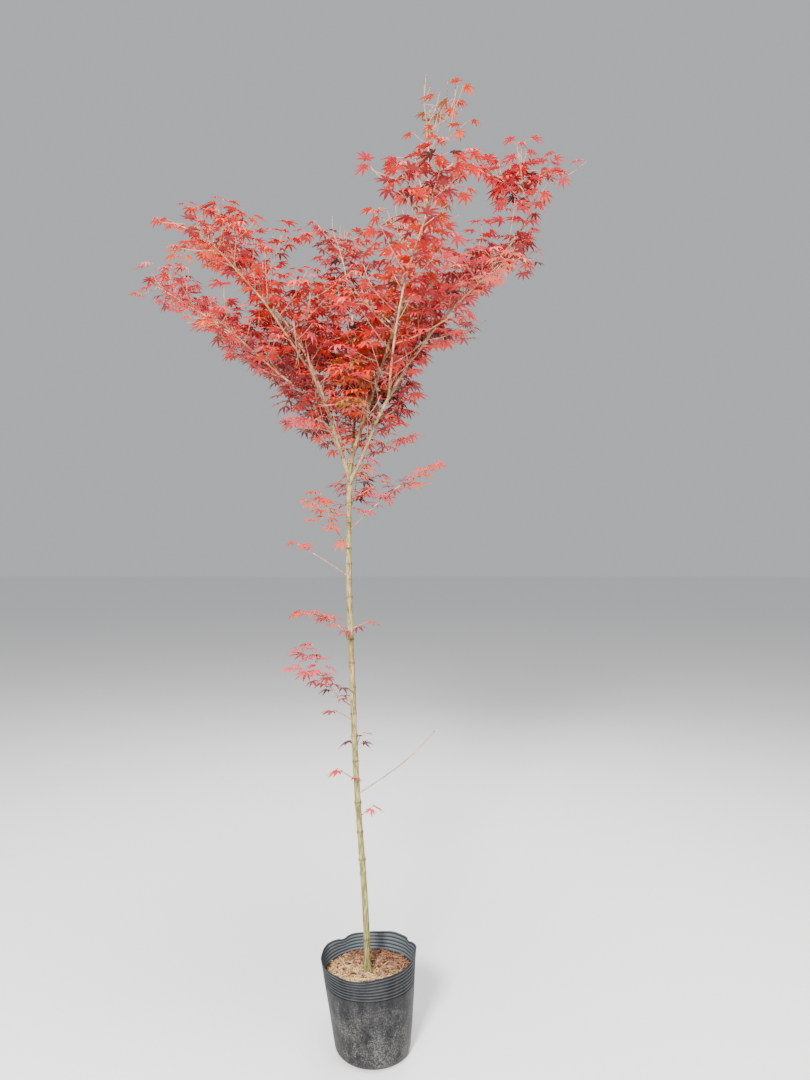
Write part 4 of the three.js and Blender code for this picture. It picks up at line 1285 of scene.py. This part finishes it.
# Materials
class Look:
    """A material while its nodes are put together."""

    def __init__(self, name, colour, roughness, specular):
        self.material = bpy.data.materials.new(name)
        self.material.use_nodes = True
        self.tree = self.material.node_tree
        self.shader = self.tree.nodes["Principled BSDF"]
        values = {"Base Color": colour, "Roughness": roughness, "Specular IOR Level": specular}
        self.feed(self.shader, values)

    def feed(self, node, inputs):
        """Sets each named socket to a constant, or links a value to it."""
        for key, value in inputs.items():
            socket = node.inputs[key]
            if isinstance(value, bpy.types.NodeSocket):
                self.tree.links.new(value, socket)
            else:
                socket.default_value = (*value, 1) if socket.type == "RGBA" else value

    def add(self, kind, inputs, **settings):
        node = self.tree.nodes.new(kind)
        for key, value in settings.items():
            setattr(node, key, value)
        self.feed(node, inputs)
        return node

    def noise(self, scale, detail, roughness):
        """A noise over object coordinates that are scaled unevenly."""
        place = self.add("ShaderNodeTexCoord", {}).outputs["Object"]
        place = self.add("ShaderNodeMapping", {"Vector": place, "Scale": scale}).outputs["Vector"]
        values = {"Vector": place, "Scale": 1.0, "Detail": detail, "Roughness": roughness}
        return self.add("ShaderNodeTexNoise", values).outputs["Fac"]

    def marks(self):
        """The two face coordinates of a piece."""
        uv = self.add("ShaderNodeUVMap", {}, uv_map="along").outputs["UV"]
        split = self.add("ShaderNodeSeparateXYZ", {"Vector": uv})
        return split.outputs["X"], split.outputs["Y"]

    def ramp(self, value, *stops):
        """Colours or levels of grey over a value. Each stop is a place and a colour or level."""
        node = self.add("ShaderNodeValToRGB", {"Fac": value})
        elements = node.color_ramp.elements
        elements[0].position = stops[0][0]
        elements[1].position = stops[-1][0]
        for place, _ in stops[1:-1]:
            elements.new(place)
        for element, (_, colour) in zip(elements, stops):
            colour = colour if isinstance(colour, tuple) else (colour, colour, colour)
            element.color = (*colour, 1)
        return node.outputs["Color"]

    def blend(self, share, first, second, kind="MIX"):
        """One colour over another."""
        values = {0: share, 6: first, 7: second}
        return self.add("ShaderNodeMix", values, data_type="RGBA", blend_type=kind).outputs[2]

    def calculate(self, operation, *values):
        node = self.add("ShaderNodeMath", dict(enumerate(values)), operation=operation)
        return node.outputs["Value"]

    def product(self, first, second):
        return self.calculate("MULTIPLY", first, second)

    def finished(self, colour, height, distance, strength):
        """The material with its colour and relief."""
        values = {"Height": height, "Distance": distance, "Strength": strength}
        normal = self.add("ShaderNodeBump", values).outputs["Normal"]
        self.feed(self.shader, {"Base Color": colour, "Normal": normal})
        return self.material


def leaf_material(tint):
    """A leaf of one plain tint, with raised veins and a soft satin gloss."""
    look = Look("leaf_" + tint, TINTS[tint], 0.55, 0.2)
    across, outward = look.marks()
    midrib = look.ramp(across, (0.0, 1), (0.16, 0))
    side_veins = look.calculate("MULTIPLY_ADD", outward, 60.0, 0.5)
    slant = look.calculate("MULTIPLY_ADD", across, -9.0, 0.5)
    wave = look.calculate("SINE", look.calculate("ADD", side_veins, slant))
    height = look.calculate("ADD", midrib, look.product(wave, 0.2))
    return look.finished(TINTS[tint], height, 0.0006, 0.7)


def bark_material(name, colours, ringed=True):
    """Smooth young bark: fine stripes along the limb, pale worn patches and dark flecks. A ringed limb
    also has dark ring lines, and is greener at its foot and in patches."""
    base, pale, dark, greener, green_reach = colours
    look = Look(name, base, 0.7, 0.3)
    stripes = look.noise((420, 420, 34), 5.0, 0.65)
    patches = look.noise((44, 44, 13), 5.0, 0.66)
    flecks = look.noise((190, 190, 60), 3.0, 0.6)
    colour = look.ramp(stripes, (0.34, dark), (0.5, base), (0.68, pale))
    colour = look.blend(look.ramp(patches, (0.5, 0), (0.62, 0.75)), colour, pale)
    colour = look.blend(look.ramp(flecks, (0.62, 0), (0.74, 0.7)), colour, dark)
    if ringed:
        lines, share = look.marks()
        lowness = look.ramp(share, (green_reach * 0.55, 0.9), (green_reach, 0))
        zones = look.ramp(look.noise((2, 2, 5), 2.0, 0.5), (0.47, 0), (0.56, 0.85))
        colour = look.blend(look.calculate("MAXIMUM", lowness, zones), colour, greener, "MULTIPLY")
        colour = look.blend(look.product(lines, 0.85), colour, dark)
    return look.finished(colour, stripes, 0.0007, 0.8)


def pot_material():
    """Soft black polyethylene: greyed and scuffed outside, dusty low down, paler inside as a painted
    reflection of the sky, with painted shade in the rib grooves and painted highlights on the rib ridges.
    """
    black = (0.01, 0.011, 0.013)
    grey = (0.026, 0.027, 0.028)
    dust = (0.16, 0.156, 0.146)
    scuff_pale = (0.26, 0.26, 0.25)
    inside_painted_reflection = (0.08, 0.092, 0.1)
    groove_painted_shade = (0.006, 0.0065, 0.007)
    ridge_painted_highlight = (0.19, 0.22, 0.25)
    look = Look("pot_plastic", black, 0.45, 0.12)
    side, height = look.marks()
    cloud = look.noise((26, 26, 12), 5.0, 0.62)
    grain = look.noise((300, 300, 220), 5.0, 0.7)
    curls = look.noise((62, 62, 84), 2.0, 0.5)
    sparse = look.noise((30, 30, 30), 3.0, 0.6)
    colour = look.blend(look.ramp(cloud, (0.42, 0), (0.62, 1)), black, grey)
    # Dust lies thickest at the foot, and the ribs under the rim stay dark
    band = look.ramp(height, (0.0, 0.8), (0.3, 0.6), (0.6, 0.4), (0.8, 0.05))
    speckle = look.ramp(grain, (0.46, 0), (0.6, 1))
    patchy = look.ramp(cloud, (0.4, 0.25), (0.6, 1))
    colour = look.blend(look.product(look.product(band, speckle), patchy), colour, dust)
    # Thin curled scuffs, where one noise crosses its middle value
    off_middle = look.calculate("ABSOLUTE", look.calculate("SUBTRACT", curls, 0.5))
    here = look.ramp(sparse, (0.46, 0), (0.56, 0.9))
    scuffs = look.product(look.ramp(off_middle, (0.0, 1), (0.014, 0)), here)
    colour = look.blend(look.product(scuffs, band), colour, scuff_pale)
    # The inner wall is paler: a painted reflection of the sky
    colour = look.blend(side, colour, inside_painted_reflection)
    # Painted shade in the grooves of the ribs and painted highlights on their ridges, the highlights
    # stronger inside
    turns = look.product(height, math.pi * POT_HEIGHT / RIB_PITCH)
    turns = look.calculate("ADD", turns, -math.pi * (POT_HEIGHT - RIM_BAND) / RIB_PITCH)
    wave = look.calculate("ABSOLUTE", look.calculate("SINE", turns))
    ribs_foot = (POT_HEIGHT - RIM_BAND - RIB_COUNT * RIB_PITCH - 1) / POT_HEIGHT
    ribbed = look.calculate("GREATER_THAN", height, ribs_foot)
    groove = look.ramp(wave, (0.0, 0.9), (0.6, 0))
    colour = look.blend(look.product(groove, ribbed), colour, groove_painted_shade)
    ridge = look.ramp(wave, (0.86, 0), (1.0, 0.7))
    shown = look.product(ribbed, look.ramp(side, (0.0, 0.3), (1.0, 1)))
    colour = look.blend(look.product(ridge, shown), colour, ridge_painted_highlight)
    look.feed(look.shader, {"Roughness": look.ramp(grain, (0.3, 0.38), (0.7, 0.62))})
    return look.finished(colour, look.calculate("ADD", grain, scuffs), 0.0005, 0.6)


def mix_material(name, dark, middle, pale):
    look = Look(name, middle, 0.9, 0.2)
    lumps = look.noise((130, 130, 130), 6.0, 0.7)
    return look.finished(look.ramp(lumps, (0.3, dark), (0.5, middle), (0.7, pale)), lumps, 0.003, 1.0)


def twig_material(name, base, pale):
    look = Look(name, base, 0.55, 0.4)
    streaks = look.noise((90, 90, 60), 4.0, 0.6)
    return look.finished(look.ramp(streaks, (0.35, base), (0.7, pale)), streaks, 0.0004, 0.6)


# Pieces
trunk_bark = bark_material("trunk_bark", TRUNK_COLOURS)
bough_bark = bark_material("bough_bark", BOUGH_COLOURS)
stem_bark = bark_material("stem_bark", BOUGH_COLOURS, ringed=False)
twig_skin = twig_material("twig_skin", (0.34, 0.14, 0.085), (0.52, 0.3, 0.19))
stalk_skin = twig_material("stalk_skin", (0.42, 0.05, 0.04), (0.6, 0.16, 0.1))
make_piece("trunk_dressed", trunk_bag, trunk_bark, ["trunk"])
make_piece("boughs_dressed", bough_bag, bough_bark, [bough.name for bough in BOUGHS])
make_piece("stems", stems, stem_bark, foliage_names)
make_piece("twigs", twigs, twig_skin, [mass.name for mass in MASSES])
make_piece("leaf_stalks", stalks, stalk_skin, foliage_names)
make_piece("buds", buds, stalk_skin, foliage_names)
for tint, bag in leaf_bags.items():
    make_piece("leaves_" + tint, bag, leaf_material(tint), sorted(leaf_nodes[tint]))
make_piece("pot_dressed", pot_bag(), pot_material(), ["pot"])

gold_chips, brown_chips = litter(chip, CHIP_COUNT, CHIP_SEED)
gold_fibres, brown_fibres = litter(fibre, FIBRE_COUNT, FIBRE_SEED)
for name, bag, smooth, look_name, dark, middle, pale in [
    ("mix_mound", mix_bag(), True, "mix",
     (0.012, 0.007, 0.005), (0.045, 0.025, 0.015), (0.15, 0.085, 0.05)),
    ("husk_chips_gold", gold_chips, False, "husk_gold",
     (0.085, 0.038, 0.014), (0.34, 0.19, 0.08), (0.66, 0.44, 0.22)),
    ("husk_chips_brown", brown_chips, False, "husk_brown",
     (0.03, 0.013, 0.008), (0.16, 0.07, 0.04), (0.42, 0.23, 0.14)),
    ("coir_fibres_gold", gold_fibres, True, "coir_straw",
     (0.34, 0.19, 0.08), (0.64, 0.43, 0.21), (0.88, 0.7, 0.44)),
    ("coir_fibres_brown", brown_fibres, True, "coir_russet",
     (0.09, 0.036, 0.022), (0.26, 0.12, 0.07), (0.52, 0.3, 0.19)),
]:
    look = mix_material(look_name, dark, middle, pale)
    make_piece(name, bag, look, ["potting_mix"], smooth)

# Floor, camera and light
floor_mesh = bpy.data.meshes.new("floor")
floor_corners = [(x * FLOOR_HALF, y * FLOOR_HALF, 0) for x, y in [(-1, -1), (1, -1), (1, 1), (-1, 1)]]
floor_mesh.from_pydata(floor_corners, [], [(0, 1, 2, 3)])
floor = add_object("floor", floor_mesh)
floor.data.materials.append(Look("floor_pale", (0.92, 0.92, 0.915), 0.9, 0.1).material)

camera_data = bpy.data.cameras.new("photo_camera")
camera_data.sensor_width = 36
camera_data.lens = 26
camera = add_object("photo_camera", camera_data)
camera.location = np.array(EYE) * MM
camera.rotation_euler = (math.radians(CAMERA_TILT), 0, 0)
bpy.context.scene.camera = camera

world = bpy.data.worlds.new("studio")
world.use_nodes = True
background = world.node_tree.nodes["Background"]
background.inputs["Color"].default_value = SKY_COLOUR
background.inputs["Strength"].default_value = SKY_STRENGTH
bpy.context.scene.world = world

for name, location, target, size, power, colour in LIGHTS:
    data = bpy.data.lights.new(name, "AREA")
    data.size = size
    data.energy = power
    data.color = colour
    light = add_object(name, data)
    light.location = location
    way = np.array(target) - np.array(location)
    tilt = math.acos(-way[2] / np.linalg.norm(way))
    light.rotation_euler = (tilt, 0, math.atan2(way[1], way[0]) - math.pi / 2)
